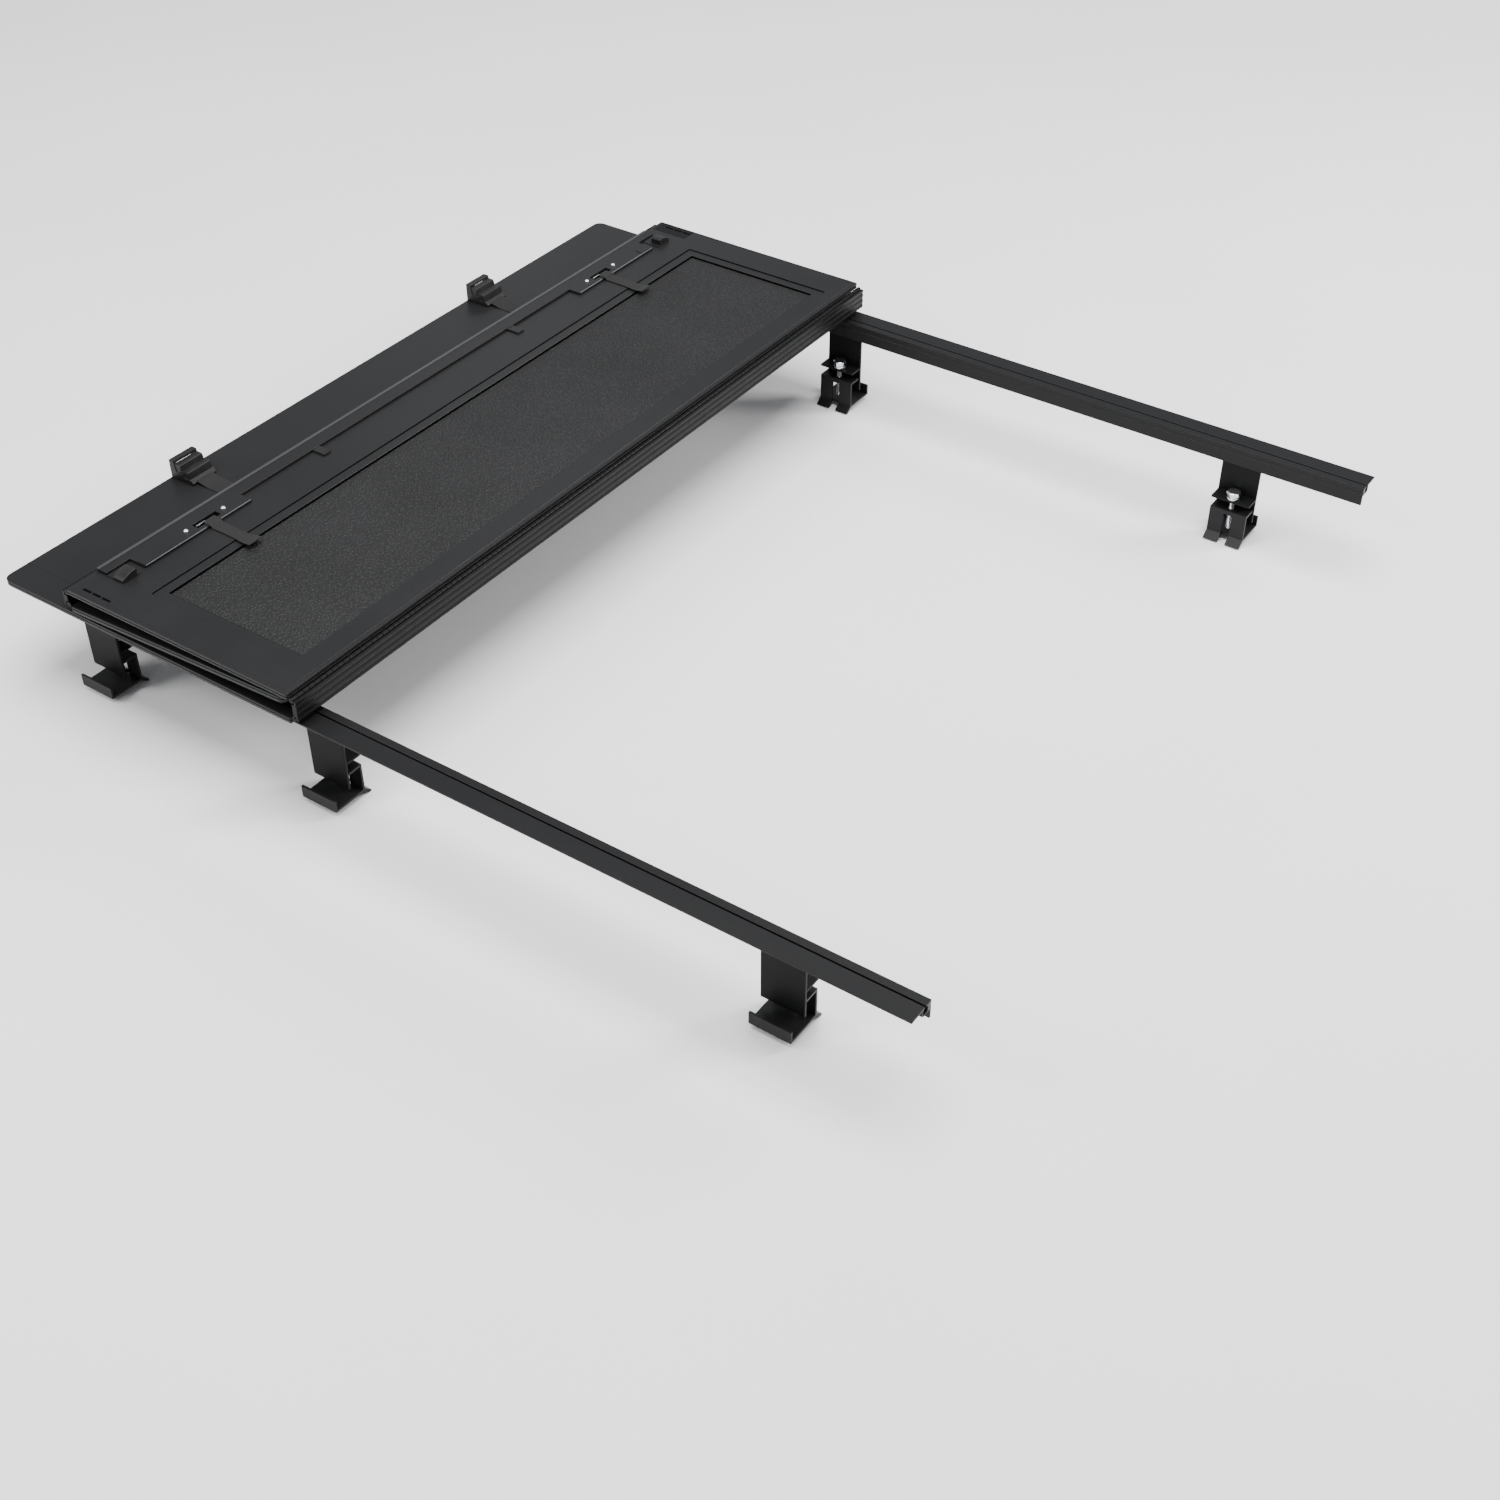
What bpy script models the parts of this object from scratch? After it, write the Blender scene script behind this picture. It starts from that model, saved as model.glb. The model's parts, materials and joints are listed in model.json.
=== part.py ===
"""Hard tri-fold tonneau cover on clamp-on side rails, folded up at the cab end.

Metres, +Z up, +Y toward the cab, +X to the right of the truck. The lengthwise middle of the
cover is y = 0 and the lowest clamp feet stand at z = 0.
"""

import math

import bpy
from mathutils import Matrix

# Overall
COVER_LENGTH = 1.757
HALF_WIDTH = 0.8085
RAIL_INSET = 0.0085
GAP = 0.0003

# Side rail section
FLANGE_WIDTH = 0.051
FLANGE_THICK = 0.003
LEG_THICK = 0.003
LEG_DEPTH = 0.034
SLOT_CENTRE = 0.0155
SLOT_WIDTH = 0.003
CHANNEL_SIZE = 0.012
CHANNEL_ROOF = 0.0025
CHANNEL_WALL = 0.002

# Clamps
REAR_CLAMP_FROM_TAIL = 0.2295
MIDDLE_CLAMP_BEHIND_HINGE = 0.004
FRONT_CLAMP_FROM_CAB = 0.157
CLAMP_WIDTH = 0.075
BRACKET_THICK = 0.005
BRACKET_DEPTH = 0.146
SHELF_DEPTH = 0.0943
SHELF_THICK = 0.004
BOLT_INBOARD = 0.016
BOLT_RADIUS = 0.005
BOLT_LENGTH = 0.066
HEAD_ACROSS_FLATS = 0.026
HEAD_HEIGHT = 0.014
JAW_WIDTH = 0.072
JAW_THICK = 0.004
JAW_TOP_DEPTH = 0.117
JAW_BOTTOM_DEPTH = 0.172
JAW_REACH = 0.053
TOOTH_HEIGHT = 0.022
FLAP_DROP = 0.010
FORK_SLOT = 0.016

# Panels
PANEL_THICK = 0.011
SIDE_FRAME = 0.0685
LEDGE = 0.022
LEDGE_STEP = 0.002
BOARD_THICK = 0.006
HINGE_EDGE = 0.006
CORNER_RADIUS = 0.016
MIDDLE_PANEL = 0.487
REAR_PANEL_CLEARANCE = 0.007
HINGE_FRAME = 0.032
LATCH_FRAME = 0.122
FREE_FRAME = 0.060
REAR_PANEL_REST_GAP = 0.0012

# Hinge strips
STRIP_INSET = 0.0019
STRIP_DEPTH = 0.010
STRIP_WALL = 0.0045
STRIP_LIP = 0.0015
FRONT_AXIS_GAP = 0.035
BARREL_RADIUS = 0.0043
PIN_RADIUS = 0.002
KNUCKLES = 7
FRONT_PANEL = 0.657

# Latch hardware
COVER_PLATE_HEIGHT = 0.0045
COVER_PLATE_CLEARANCE = 0.004
COVER_PLATE_DEPTH = 0.059
COVER_PLATE_SETBACK = 0.003
CENTRE_CUT_FROM_END = 0.292
CENTRE_CUT_DEPTH = 0.027
TONGUE_LENGTH = 0.038
TONGUE_WIDTH = 0.040
TONGUE_HEIGHT = 0.0135
TONGUE_TRAVEL = 0.012
STRAP_FROM_END = 0.2035
STRAP_WIDTH = 0.034
STRAP_THICK = 0.0015
STRAP_SLOT_WIDTH = 0.053
STRAP_SLOT_DEPTH = 0.015
STRAP_LENGTH = 0.100

# Storage straps and seals
BUCKLE_FROM_EDGE = 0.4065
BUCKLE_WIDTH = 0.056
BUCKLE_DEPTH = 0.055
BUCKLE_HEIGHT = 0.036
WEBBING_WIDTH = 0.038
WEBBING_LENGTH = 0.106
SEAL_WIDTH = 0.016
BULKHEAD_SEAL_HEIGHT = 0.012
SEAL_CLEARANCE = 0.009

ROUND_SIDES = 12

# Heights and lengthwise places that follow from the sizes above
Z_BED = JAW_BOTTOM_DEPTH + FLAP_DROP
Y_TAIL = -COVER_LENGTH / 2
Z_FRONT_SKIN = Z_BED + GAP + PANEL_THICK
Z_MIDDLE_SKIN = Z_FRONT_SKIN + FRONT_AXIS_GAP
Z_REAR_SKIN = Z_FRONT_SKIN + GAP + PANEL_THICK
REAR_AXIS_GAP = Z_MIDDLE_SKIN - Z_REAR_SKIN
Y_FRONT_AXIS = Y_TAIL + COVER_LENGTH - FRONT_PANEL - HINGE_EDGE
Y_REAR_AXIS = Y_FRONT_AXIS + MIDDLE_PANEL + 2 * HINGE_EDGE
REAR_PANEL = MIDDLE_PANEL - REAR_PANEL_CLEARANCE
REAR_PANEL_TILT = math.asin((REAR_AXIS_GAP - REAR_PANEL_REST_GAP) / (HINGE_EDGE + REAR_PANEL))
RAIL_INNER = HALF_WIDTH - RAIL_INSET - FLANGE_WIDTH
BRACKET_INNER = RAIL_INNER + LEG_THICK + GAP
UNDERSIDE = PANEL_THICK + GAP
STRIP_HALF_LENGTH = HALF_WIDTH - STRIP_INSET
COVER_PLATE_HALF = RAIL_INNER - COVER_PLATE_CLEARANCE
CENTRE_CUT_HALF = COVER_PLATE_HALF - CENTRE_CUT_FROM_END
STRAP_CENTRE = COVER_PLATE_HALF - STRAP_FROM_END
BUCKLE_CENTRE = HALF_WIDTH - BUCKLE_FROM_EDGE
SEAL_HALF_LENGTH = RAIL_INNER - SEAL_CLEARANCE
CLAMP_PLACES = {
    "rear": Y_TAIL + REAR_CLAMP_FROM_TAIL,
    "middle": Y_FRONT_AXIS - MIDDLE_CLAMP_BEHIND_HINGE,
    "front": Y_TAIL + COVER_LENGTH - FRONT_CLAMP_FROM_CAB,
}


def clear_scene():
    """Removes every object the scene starts with."""
    for obj in list(bpy.data.objects):
        bpy.data.objects.remove(obj, do_unlink=True)


def make_material(name, colour, roughness, metallic):
    """Returns a Principled material."""
    material = bpy.data.materials.new(name)
    material.use_nodes = True
    shader = material.node_tree.nodes["Principled BSDF"]
    shader.inputs["Base Color"].default_value = (*colour, 1.0)
    shader.inputs["Roughness"].default_value = roughness
    shader.inputs["Metallic"].default_value = metallic
    material.diffuse_color = (*colour, 1.0)
    return material


def add_object(name, vertices, faces, material, place=None):
    """Adds a closed mesh under this name, at this place."""
    mesh = bpy.data.meshes.new(name)
    mesh.from_pydata(vertices, [], faces)
    mesh.validate()
    obj = bpy.data.objects.new(name, mesh)
    bpy.context.scene.collection.objects.link(obj)
    if place is not None:
        obj.matrix_world = place
    if material is not None:
        mesh.materials.append(material)
    return obj


def area_of(outline):
    """Signed area of a flat outline: above zero when it runs anticlockwise."""
    pairs = zip(outline, outline[1:] + outline[:1])
    return sum(a[0] * b[1] - b[0] * a[1] for a, b in pairs) / 2


def prism_data(outline, start, end, axis):
    """Vertices and faces of an outline drawn in the other two axes and pushed along this one.

    The outline is given as (y, z) for axis "x", (x, z) for axis "y" and (x, y) for axis "z".
    """
    if (area_of(outline) > 0) == (axis == "y"):
        outline = outline[::-1]
    count = len(outline)
    vertices = []
    for level in (start, end):
        for a, b in outline:
            vertices.append({"x": (level, a, b), "y": (a, level, b), "z": (a, b, level)}[axis])
    faces = [list(range(count))[::-1], list(range(count, 2 * count))]
    for i in range(count):
        j = (i + 1) % count
        faces.append([i, j, count + j, count + i])
    return vertices, faces


def add_prism(name, outline, start, end, axis, material, place=None):
    """Adds an outline pushed along an axis as an object."""
    vertices, faces = prism_data(outline, start, end, axis)
    return add_object(name, vertices, faces, material, place)


def rectangle(a0, a1, b0, b1):
    """Outline of a rectangle."""
    return [(a0, b0), (a1, b0), (a1, b1), (a0, b1)]


def add_box(name, x_range, y_range, z_range, material, place=None):
    """Adds a box."""
    return add_prism(name, rectangle(*x_range, *y_range), *z_range, "z", material, place)


def arc(centre, radius, first, last, steps):
    """Points of an arc, angles in degrees."""
    points = []
    for i in range(steps + 1):
        angle = math.radians(first + (last - first) * i / steps)
        points.append((centre[0] + radius * math.cos(angle), centre[1] + radius * math.sin(angle)))
    return points


def circle(centre, radius, sides=ROUND_SIDES):
    """Outline of a many-sided circle."""
    return arc(centre, radius, 0, 360, sides)[:-1]


def combine(target, other, operation):
    """Joins or cuts the target with the other object, bakes it and removes the other."""
    other.display_type = "WIRE"
    other.hide_render = True
    modifier = target.modifiers.new(operation.lower(), "BOOLEAN")
    modifier.operation = operation
    modifier.solver = "EXACT"
    modifier.object = other
    bpy.context.view_layer.update()
    graph = bpy.context.evaluated_depsgraph_get()
    baked = bpy.data.meshes.new_from_object(target.evaluated_get(graph))
    target.modifiers.clear()
    target.data = baked
    bpy.data.objects.remove(other, do_unlink=True)


def repeat(source, name, place):
    """Adds the same mesh under another name at another place."""
    obj = bpy.data.objects.new(name, source.data)
    bpy.context.scene.collection.objects.link(obj)
    obj.matrix_world = place
    return obj


def side_places(side):
    """Turns what is drawn for the right side round to the left one."""
    return Matrix.Identity(4) if side == "right" else Matrix.Rotation(math.pi, 4, "Z")


# ---------------------------------------------------------------- side rails


def rail_outline():
    """Section of the right side rail, x outward and z up from the bed rail plane."""
    half_slot = SLOT_WIDTH / 2
    half_channel = CHANNEL_SIZE / 2
    corner = 0.002
    roof = -CHANNEL_ROOF
    floor = roof - CHANNEL_SIZE
    left = SLOT_CENTRE - half_channel
    right = SLOT_CENTRE + half_channel
    wall = right + CHANNEL_WALL
    points = [
        (0.0, 0.0),
        (SLOT_CENTRE - half_slot, 0.0),
        (SLOT_CENTRE - half_slot, roof),
        (left + corner, roof),
        (left, roof - corner),
        (left, floor + corner),
        (left + corner, floor),
        (right - corner, floor),
        (right, floor + corner),
        (right, roof - corner),
        (right - corner, roof),
        (SLOT_CENTRE + half_slot, roof),
        (SLOT_CENTRE + half_slot, 0.0),
        (FLANGE_WIDTH, 0.0),
        (FLANGE_WIDTH, -FLANGE_THICK),
        (wall, -FLANGE_THICK),
        (wall, floor + corner - CHANNEL_WALL / 2),
        (wall - corner, floor - CHANNEL_WALL),
        (LEG_THICK, floor - CHANNEL_WALL),
        (LEG_THICK, -LEG_DEPTH),
        (0.0, -LEG_DEPTH),
        (0.0, -0.0126),
        (0.001, -0.0120),
        (0.001, -0.0056),
        (0.0, -0.0050),
    ]
    return [(RAIL_INNER + x, Z_BED + z) for x, z in points]


def build_rails(black):
    for side in ("right", "left"):
        outline = rail_outline()
        name = f"side_rail_{side}"
        add_prism(name, outline, Y_TAIL, Y_TAIL + COVER_LENGTH, "y", black, side_places(side))


# ---------------------------------------------------------------- clamps


def bracket_mesh(black):
    """Hanging plate with a shelf for the bolt, y = 0 at its middle."""
    half = CLAMP_WIDTH / 2
    top = -CHANNEL_ROOF - CHANNEL_SIZE - CHANNEL_WALL - GAP
    outer = BRACKET_INNER + BRACKET_THICK
    shelf_end = BRACKET_INNER - BOLT_INBOARD - 0.0135
    outline = [
        (BRACKET_INNER, Z_BED + top),
        (outer, Z_BED + top),
        (outer, Z_BED - BRACKET_DEPTH),
        (BRACKET_INNER, Z_BED - BRACKET_DEPTH),
        (BRACKET_INNER, Z_BED - SHELF_DEPTH - SHELF_THICK),
        (shelf_end, Z_BED - SHELF_DEPTH - SHELF_THICK),
        (shelf_end, Z_BED - SHELF_DEPTH),
        (BRACKET_INNER, Z_BED - SHELF_DEPTH),
    ]
    bracket = add_prism("bracket_source", outline, -half, half, "y", black)
    axis = (BRACKET_INNER - BOLT_INBOARD, 0.0)
    hole = add_prism(
        "bracket_hole",
        circle(axis, BOLT_RADIUS + GAP),
        Z_BED - SHELF_DEPTH - 2 * SHELF_THICK,
        Z_BED - SHELF_DEPTH + SHELF_THICK,
        "z",
        None,
    )
    combine(bracket, hole, "DIFFERENCE")
    return bracket


def bolt_mesh(bright):
    """Hex-headed clamp bolt with its own axis at x = y = 0 and its head's seat at z = 0."""
    head = add_prism(
        "bolt_source",
        circle((0.0, 0.0), HEAD_ACROSS_FLATS / 2 / math.cos(math.pi / 6), 6),
        0.0,
        HEAD_HEIGHT,
        "z",
        bright,
    )
    shank = add_prism(
        "bolt_shank", circle((0.0, 0.0), BOLT_RADIUS), -BOLT_LENGTH, HEAD_HEIGHT / 2, "z", None
    )
    combine(head, shank, "UNION")
    return head


def jaw_mesh(bright):
    """Forked clamp foot: a tab on the bolt, a front plate, a shelf under the bracket and a tooth."""
    front = BRACKET_INNER - BOLT_INBOARD - 0.014
    tab_end = BRACKET_INNER - 0.002
    far = front + JAW_REACH + 0.014
    top = Z_BED - JAW_TOP_DEPTH
    bottom = Z_BED - JAW_BOTTOM_DEPTH
    tooth = bottom + TOOTH_HEIGHT
    outline = [
        (front, top),
        (tab_end, top),
        (tab_end, top - JAW_THICK),
        (front + JAW_THICK, top - JAW_THICK),
        (front + JAW_THICK, bottom + JAW_THICK),
        (far - JAW_THICK, bottom + JAW_THICK),
        (far - JAW_THICK, tooth),
        (far, tooth),
        (far, bottom),
        (front + JAW_THICK, bottom),
        (front - 0.010, bottom - FLAP_DROP),
        (front - 0.014, bottom - FLAP_DROP + 0.002),
        (front, bottom + JAW_THICK),
    ]
    jaw = add_prism("jaw_source", outline, -JAW_WIDTH / 2, JAW_WIDTH / 2, "y", bright)
    axis = (BRACKET_INNER - BOLT_INBOARD, 0.0)
    hole = add_prism(
        "jaw_hole",
        circle(axis, BOLT_RADIUS + GAP),
        top - 2 * JAW_THICK,
        top + JAW_THICK,
        "z",
        None,
    )
    combine(jaw, hole, "DIFFERENCE")
    fork = add_box(
        "jaw_fork",
        (front - 0.030, front + JAW_THICK + GAP),
        (-FORK_SLOT / 2, FORK_SLOT / 2),
        (bottom - 2 * FLAP_DROP, top - 2 * JAW_THICK),
        None,
    )
    combine(jaw, fork, "DIFFERENCE")
    return jaw


def build_clamps(black, bright):
    bracket = bracket_mesh(black)
    bolt = bolt_mesh(bright)
    jaw = jaw_mesh(bright)
    bolt_x = BRACKET_INNER - BOLT_INBOARD
    seat = Z_BED - SHELF_DEPTH + GAP
    for side in ("left", "right"):
        turn = side_places(side)
        for row, y in CLAMP_PLACES.items():
            along = Matrix.Translation((0.0, y, 0.0))
            repeat(bracket, f"clamp_bracket_{side}_{row}", along @ turn)
            repeat(jaw, f"clamp_jaw_{side}_{row}", along @ turn)
            onto_axis = Matrix.Translation((bolt_x, 0.0, seat))
            repeat(bolt, f"clamp_bolt_{side}_{row}", along @ turn @ onto_axis)
    for source in (bracket, bolt, jaw):
        bpy.data.objects.remove(source, do_unlink=True)


# ---------------------------------------------------------------- hinges


def knuckle_spans(parity):
    """The (start, end) of every second knuckle along the hinge."""
    pitch = 2 * STRIP_HALF_LENGTH / KNUCKLES
    spans = []
    for i in range(parity, KNUCKLES, 2):
        start = -STRIP_HALF_LENGTH + i * pitch
        spans.append((start + (GAP if i else 0.0), start + pitch - (GAP if i < KNUCKLES - 1 else 0.0)))
    return spans


def knuckle_row(name, outline, parity, place=None):
    """One object holding every second knuckle of a hinge."""
    vertices = []
    faces = []
    for start, end in knuckle_spans(parity):
        more, sides = prism_data(outline, start, end, "x")
        offset = len(vertices)
        vertices.extend(more)
        faces.extend([[offset + i for i in side] for side in sides])
    return add_object(name, vertices, faces, None, place)


def panel_knuckle(axis_v, toward):
    """Outline of a barrel whose web runs to the panel edge: +1 when the panel lies at higher v."""
    root = HINGE_EDGE + 0.0015
    points = arc((0.0, 0.0), BARREL_RADIUS, 90, 360, 9)
    points += [(root, 0.0), (root, BARREL_RADIUS)]
    return [(axis_v + toward * v, w) for v, w in points]


def strip_knuckle(axis_z, away, outward):
    """Outline of a strip's barrel: `away` is the side of the strip's body, up or down."""
    root = BARREL_RADIUS + 0.0022
    points = arc((0.0, 0.0), BARREL_RADIUS, 180, 450, 9)
    points += [(0.0, root), (-root, root), (-root, 0.0)]
    return [(-outward * y, axis_z + away * z) for y, z in points]


def cut_bore(target, y, z, place=None):
    """Drills the pin's bore along x."""
    reach = HALF_WIDTH + 0.01
    bore = add_prism(
        "bore", circle((y, z), PIN_RADIUS + GAP), -reach, reach, "x", None, place
    )
    combine(target, bore, "DIFFERENCE")


def build_strip(name, y_axis, z_low, z_high, outward, black, bright):
    """Hinge strip standing beside the folded edges; outward is -1 toward the tail, +1 cab."""
    height = z_high - z_low
    wall = STRIP_DEPTH - STRIP_WALL
    body = BARREL_RADIUS + 0.0014
    section = [
        (STRIP_DEPTH, -STRIP_LIP),
        (STRIP_DEPTH, height + STRIP_LIP),
        (wall, height + STRIP_LIP),
        (wall, height - body),
        (0.0, height - body),
        (0.0, body),
        (wall, body),
        (wall, -STRIP_LIP),
    ]
    place = Matrix.Translation((0.0, y_axis, z_low))
    outline = [(outward * y, z) for y, z in section]
    strip = add_prism(name, outline, -STRIP_HALF_LENGTH, STRIP_HALF_LENGTH, "x", black, place)
    for axis_z, away in ((0.0, 1), (height, -1)):
        row = knuckle_row("knuckles", strip_knuckle(axis_z, away, outward), 0, place)
        combine(strip, row, "UNION")
        cut_bore(strip, 0.0, axis_z, place)
    for label, axis_z in (("lower", z_low), ("upper", z_high)):
        add_prism(
            name.replace("strip", f"pin_{label}"),
            circle((0.0, 0.0), PIN_RADIUS),
            -STRIP_HALF_LENGTH,
            STRIP_HALF_LENGTH,
            "x",
            bright,
            Matrix.Translation((0.0, y_axis, axis_z)),
        )


# ---------------------------------------------------------------- panels


def bar_outline(start, end, rounded):
    """Plan of a full-width cross bar; `rounded` names the edge whose two corners are rounded."""
    if rounded is None:
        return rectangle(-HALF_WIDTH, HALF_WIDTH, start, end)
    sign = 1 if rounded == "end" else -1
    edge = end if rounded == "end" else start
    other = start if rounded == "end" else end
    inset = HALF_WIDTH - CORNER_RADIUS
    right = arc((inset, 0.0), CORNER_RADIUS, 0, 90, 5)
    points = [(x, edge - sign * CORNER_RADIUS + sign * v) for x, v in right]
    points += [(-x, v) for x, v in points[::-1]]
    return points + [(-HALF_WIDTH, other), (HALF_WIDTH, other)]


def build_panel(prefix, place, first, length, frames, hinges, rounded, black, board_material):
    """Four frame bars round a board, drawn with the skin at w = 0 and the underside above it.

    `first` is the v of the panel's starting edge. `frames` are the widths of the start and end
    frames up to the ledge. `hinges` says which of the two edges carry knuckles.
    """
    last = first + length
    start_inner = first + frames[0] + LEDGE
    end_inner = last - frames[1] - LEDGE
    side_inner = HALF_WIDTH - SIDE_FRAME - LEDGE
    bars = {
        "start": add_prism(
            f"{prefix}_start_bar",
            bar_outline(first, start_inner, "start" if rounded == "start" else None),
            0.0,
            PANEL_THICK,
            "z",
            black,
            place,
        ),
        "end": add_prism(
            f"{prefix}_end_bar",
            bar_outline(end_inner, last, "end" if rounded == "end" else None),
            0.0,
            PANEL_THICK,
            "z",
            black,
            place,
        ),
    }
    span = (start_inner + GAP, end_inner - GAP)
    plus_x = (side_inner, HALF_WIDTH)
    minus_x = (-HALF_WIDTH, -side_inner)
    bars["left"] = add_box(f"{prefix}_left_bar", minus_x, span, (0.0, PANEL_THICK), black, place)
    bars["right"] = add_box(f"{prefix}_right_bar", plus_x, span, (0.0, PANEL_THICK), black, place)
    for bar in bars.values():
        recess = add_box(
            "recess",
            (SIDE_FRAME - HALF_WIDTH, HALF_WIDTH - SIDE_FRAME),
            (first + frames[0], last - frames[1]),
            (PANEL_THICK - LEDGE_STEP, PANEL_THICK + LEDGE_STEP),
            None,
            place,
        )
        combine(bar, recess, "DIFFERENCE")
    for edge, toward in (("start", 1), ("end", -1)):
        if edge not in hinges:
            continue
        axis_v = first - HINGE_EDGE if edge == "start" else last + HINGE_EDGE
        row = knuckle_row("knuckles", panel_knuckle(axis_v, toward), 1, place)
        combine(bars[edge], row, "UNION")
        cut_bore(bars[edge], axis_v, 0.0, place)
    add_box(
        f"{prefix}_board",
        (-side_inner + GAP, side_inner - GAP),
        span,
        (0.0, BOARD_THICK),
        board_material,
        place,
    )


def ribbon_outline(path, thick):
    """Outline of a ribbon that keeps this thickness above a path of (v, w) points."""
    upper = []
    for i, point in enumerate(path):
        before = path[max(i - 1, 0)]
        after = path[min(i + 1, len(path) - 1)]
        run = math.hypot(after[0] - before[0], after[1] - before[1])
        normal = (-(after[1] - before[1]) / run, (after[0] - before[0]) / run)
        upper.append((point[0] + thick * normal[0], point[1] + thick * normal[1]))
    return path + upper[::-1]


def build_latches(prefix, place, edge, toward, black, bright, webbing):
    """Cover plate, two spring tongues and two pull straps on a panel's underside.

    `edge` is the v of the plate's edge nearest the panel's own edge, `toward` the way to it.
    """
    back = edge - toward * COVER_PLATE_DEPTH
    notch = edge - toward * 0.022
    step = edge - toward * (COVER_PLATE_DEPTH - CENTRE_CUT_DEPTH)
    notch_x = COVER_PLATE_HALF - TONGUE_LENGTH - TONGUE_TRAVEL
    half = [
        (COVER_PLATE_HALF, edge),
        (COVER_PLATE_HALF, notch),
        (notch_x, notch),
        (notch_x, back),
        (CENTRE_CUT_HALF, back),
        (CENTRE_CUT_HALF, step),
    ]
    outline = half + [(-x, v) for x, v in half[::-1]]
    low = UNDERSIDE
    high = low + COVER_PLATE_HEIGHT
    plate = add_prism(f"{prefix}_latch_cover", outline, low, high, "z", black, place)
    slot_v = back + toward * 0.018
    for sign in (1, -1):
        slot = add_box(
            "strap_slot",
            (sign * STRAP_CENTRE - STRAP_SLOT_WIDTH / 2, sign * STRAP_CENTRE + STRAP_SLOT_WIDTH / 2),
            (slot_v - STRAP_SLOT_DEPTH / 2, slot_v + STRAP_SLOT_DEPTH / 2),
            (low - 0.002, high + 0.002),
            None,
            place,
        )
        combine(plate, slot, "DIFFERENCE")
    inner = COVER_PLATE_HALF - TONGUE_LENGTH + 0.0015
    outer = COVER_PLATE_HALF + 0.0015
    cam = [
        (outer, low),
        (outer, low + 0.30 * TONGUE_HEIGHT),
        (outer - 0.004, low + 0.62 * TONGUE_HEIGHT),
        (outer - 0.011, low + 0.90 * TONGUE_HEIGHT),
        (outer - 0.019, low + TONGUE_HEIGHT),
        (outer - 0.028, low + 0.92 * TONGUE_HEIGHT),
        (inner, low + 0.60 * TONGUE_HEIGHT),
        (inner, low),
    ]
    mid = notch - toward * (0.001 + TONGUE_WIDTH / 2)
    spans = (mid - TONGUE_WIDTH / 2, mid + TONGUE_WIDTH / 2)
    lift = GAP
    path = [
        (slot_v, low + lift),
        (slot_v - toward * 0.004, high + lift),
        (back - toward * 0.001, high + lift),
        (back - toward * 0.005, low + lift),
        (back - toward * (STRAP_LENGTH - 0.016), low + lift),
        (back - toward * (STRAP_LENGTH - 0.005), low + 0.0018),
        (back - toward * STRAP_LENGTH, low + 0.005),
    ]
    outward = STRAP_THICK if toward < 0 else -STRAP_THICK
    ribbon = ribbon_outline(path, outward)
    for sign in (1, -1):
        side = "right" if sign > 0 else "left"
        tongue = [(sign * x, w) for x, w in cam]
        add_prism(f"{prefix}_latch_tongue_{side}", tongue, *spans, "y", bright, place)
        strap = (sign * STRAP_CENTRE - STRAP_WIDTH / 2, sign * STRAP_CENTRE + STRAP_WIDTH / 2)
        add_prism(f"{prefix}_pull_strap_{side}", ribbon, *strap, "x", webbing, place)


def build_storage(black, webbing):
    """Buckles and webbing that hold the folded stack, on the front panel's skin."""
    front = Y_TAIL + COVER_LENGTH - 0.001
    low = Z_FRONT_SKIN + GAP
    high = low + BUCKLE_HEIGHT
    back = front - BUCKLE_DEPTH
    profile = [
        (back, low),
        (front, low),
        (front, high),
        (front - 0.012, high),
        (front - 0.016, low + 0.0165),
        (front - 0.032, low + 0.0165),
        (front - 0.034, low + 0.010),
        (back + 0.006, low + 0.010),
        (back, low + 0.004),
    ]
    for sign, side in ((1, "right"), (-1, "left")):
        x = sign * BUCKLE_CENTRE
        buckle = add_prism(
            f"storage_buckle_{side}",
            profile,
            x - BUCKLE_WIDTH / 2,
            x + BUCKLE_WIDTH / 2,
            "x",
            black,
        )
        window = add_box(
            "buckle_window",
            (x - BUCKLE_WIDTH / 2 + 0.006, x + BUCKLE_WIDTH / 2 - 0.006),
            (front - 0.025, front + 0.01),
            (low + 0.0190, high - 0.005),
            None,
        )
        combine(buckle, window, "DIFFERENCE")
        add_box(
            f"storage_webbing_{side}",
            (x - WEBBING_WIDTH / 2, x + WEBBING_WIDTH / 2),
            (back - GAP - WEBBING_LENGTH, back - GAP),
            (low, low + STRAP_THICK),
            webbing,
        )


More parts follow.
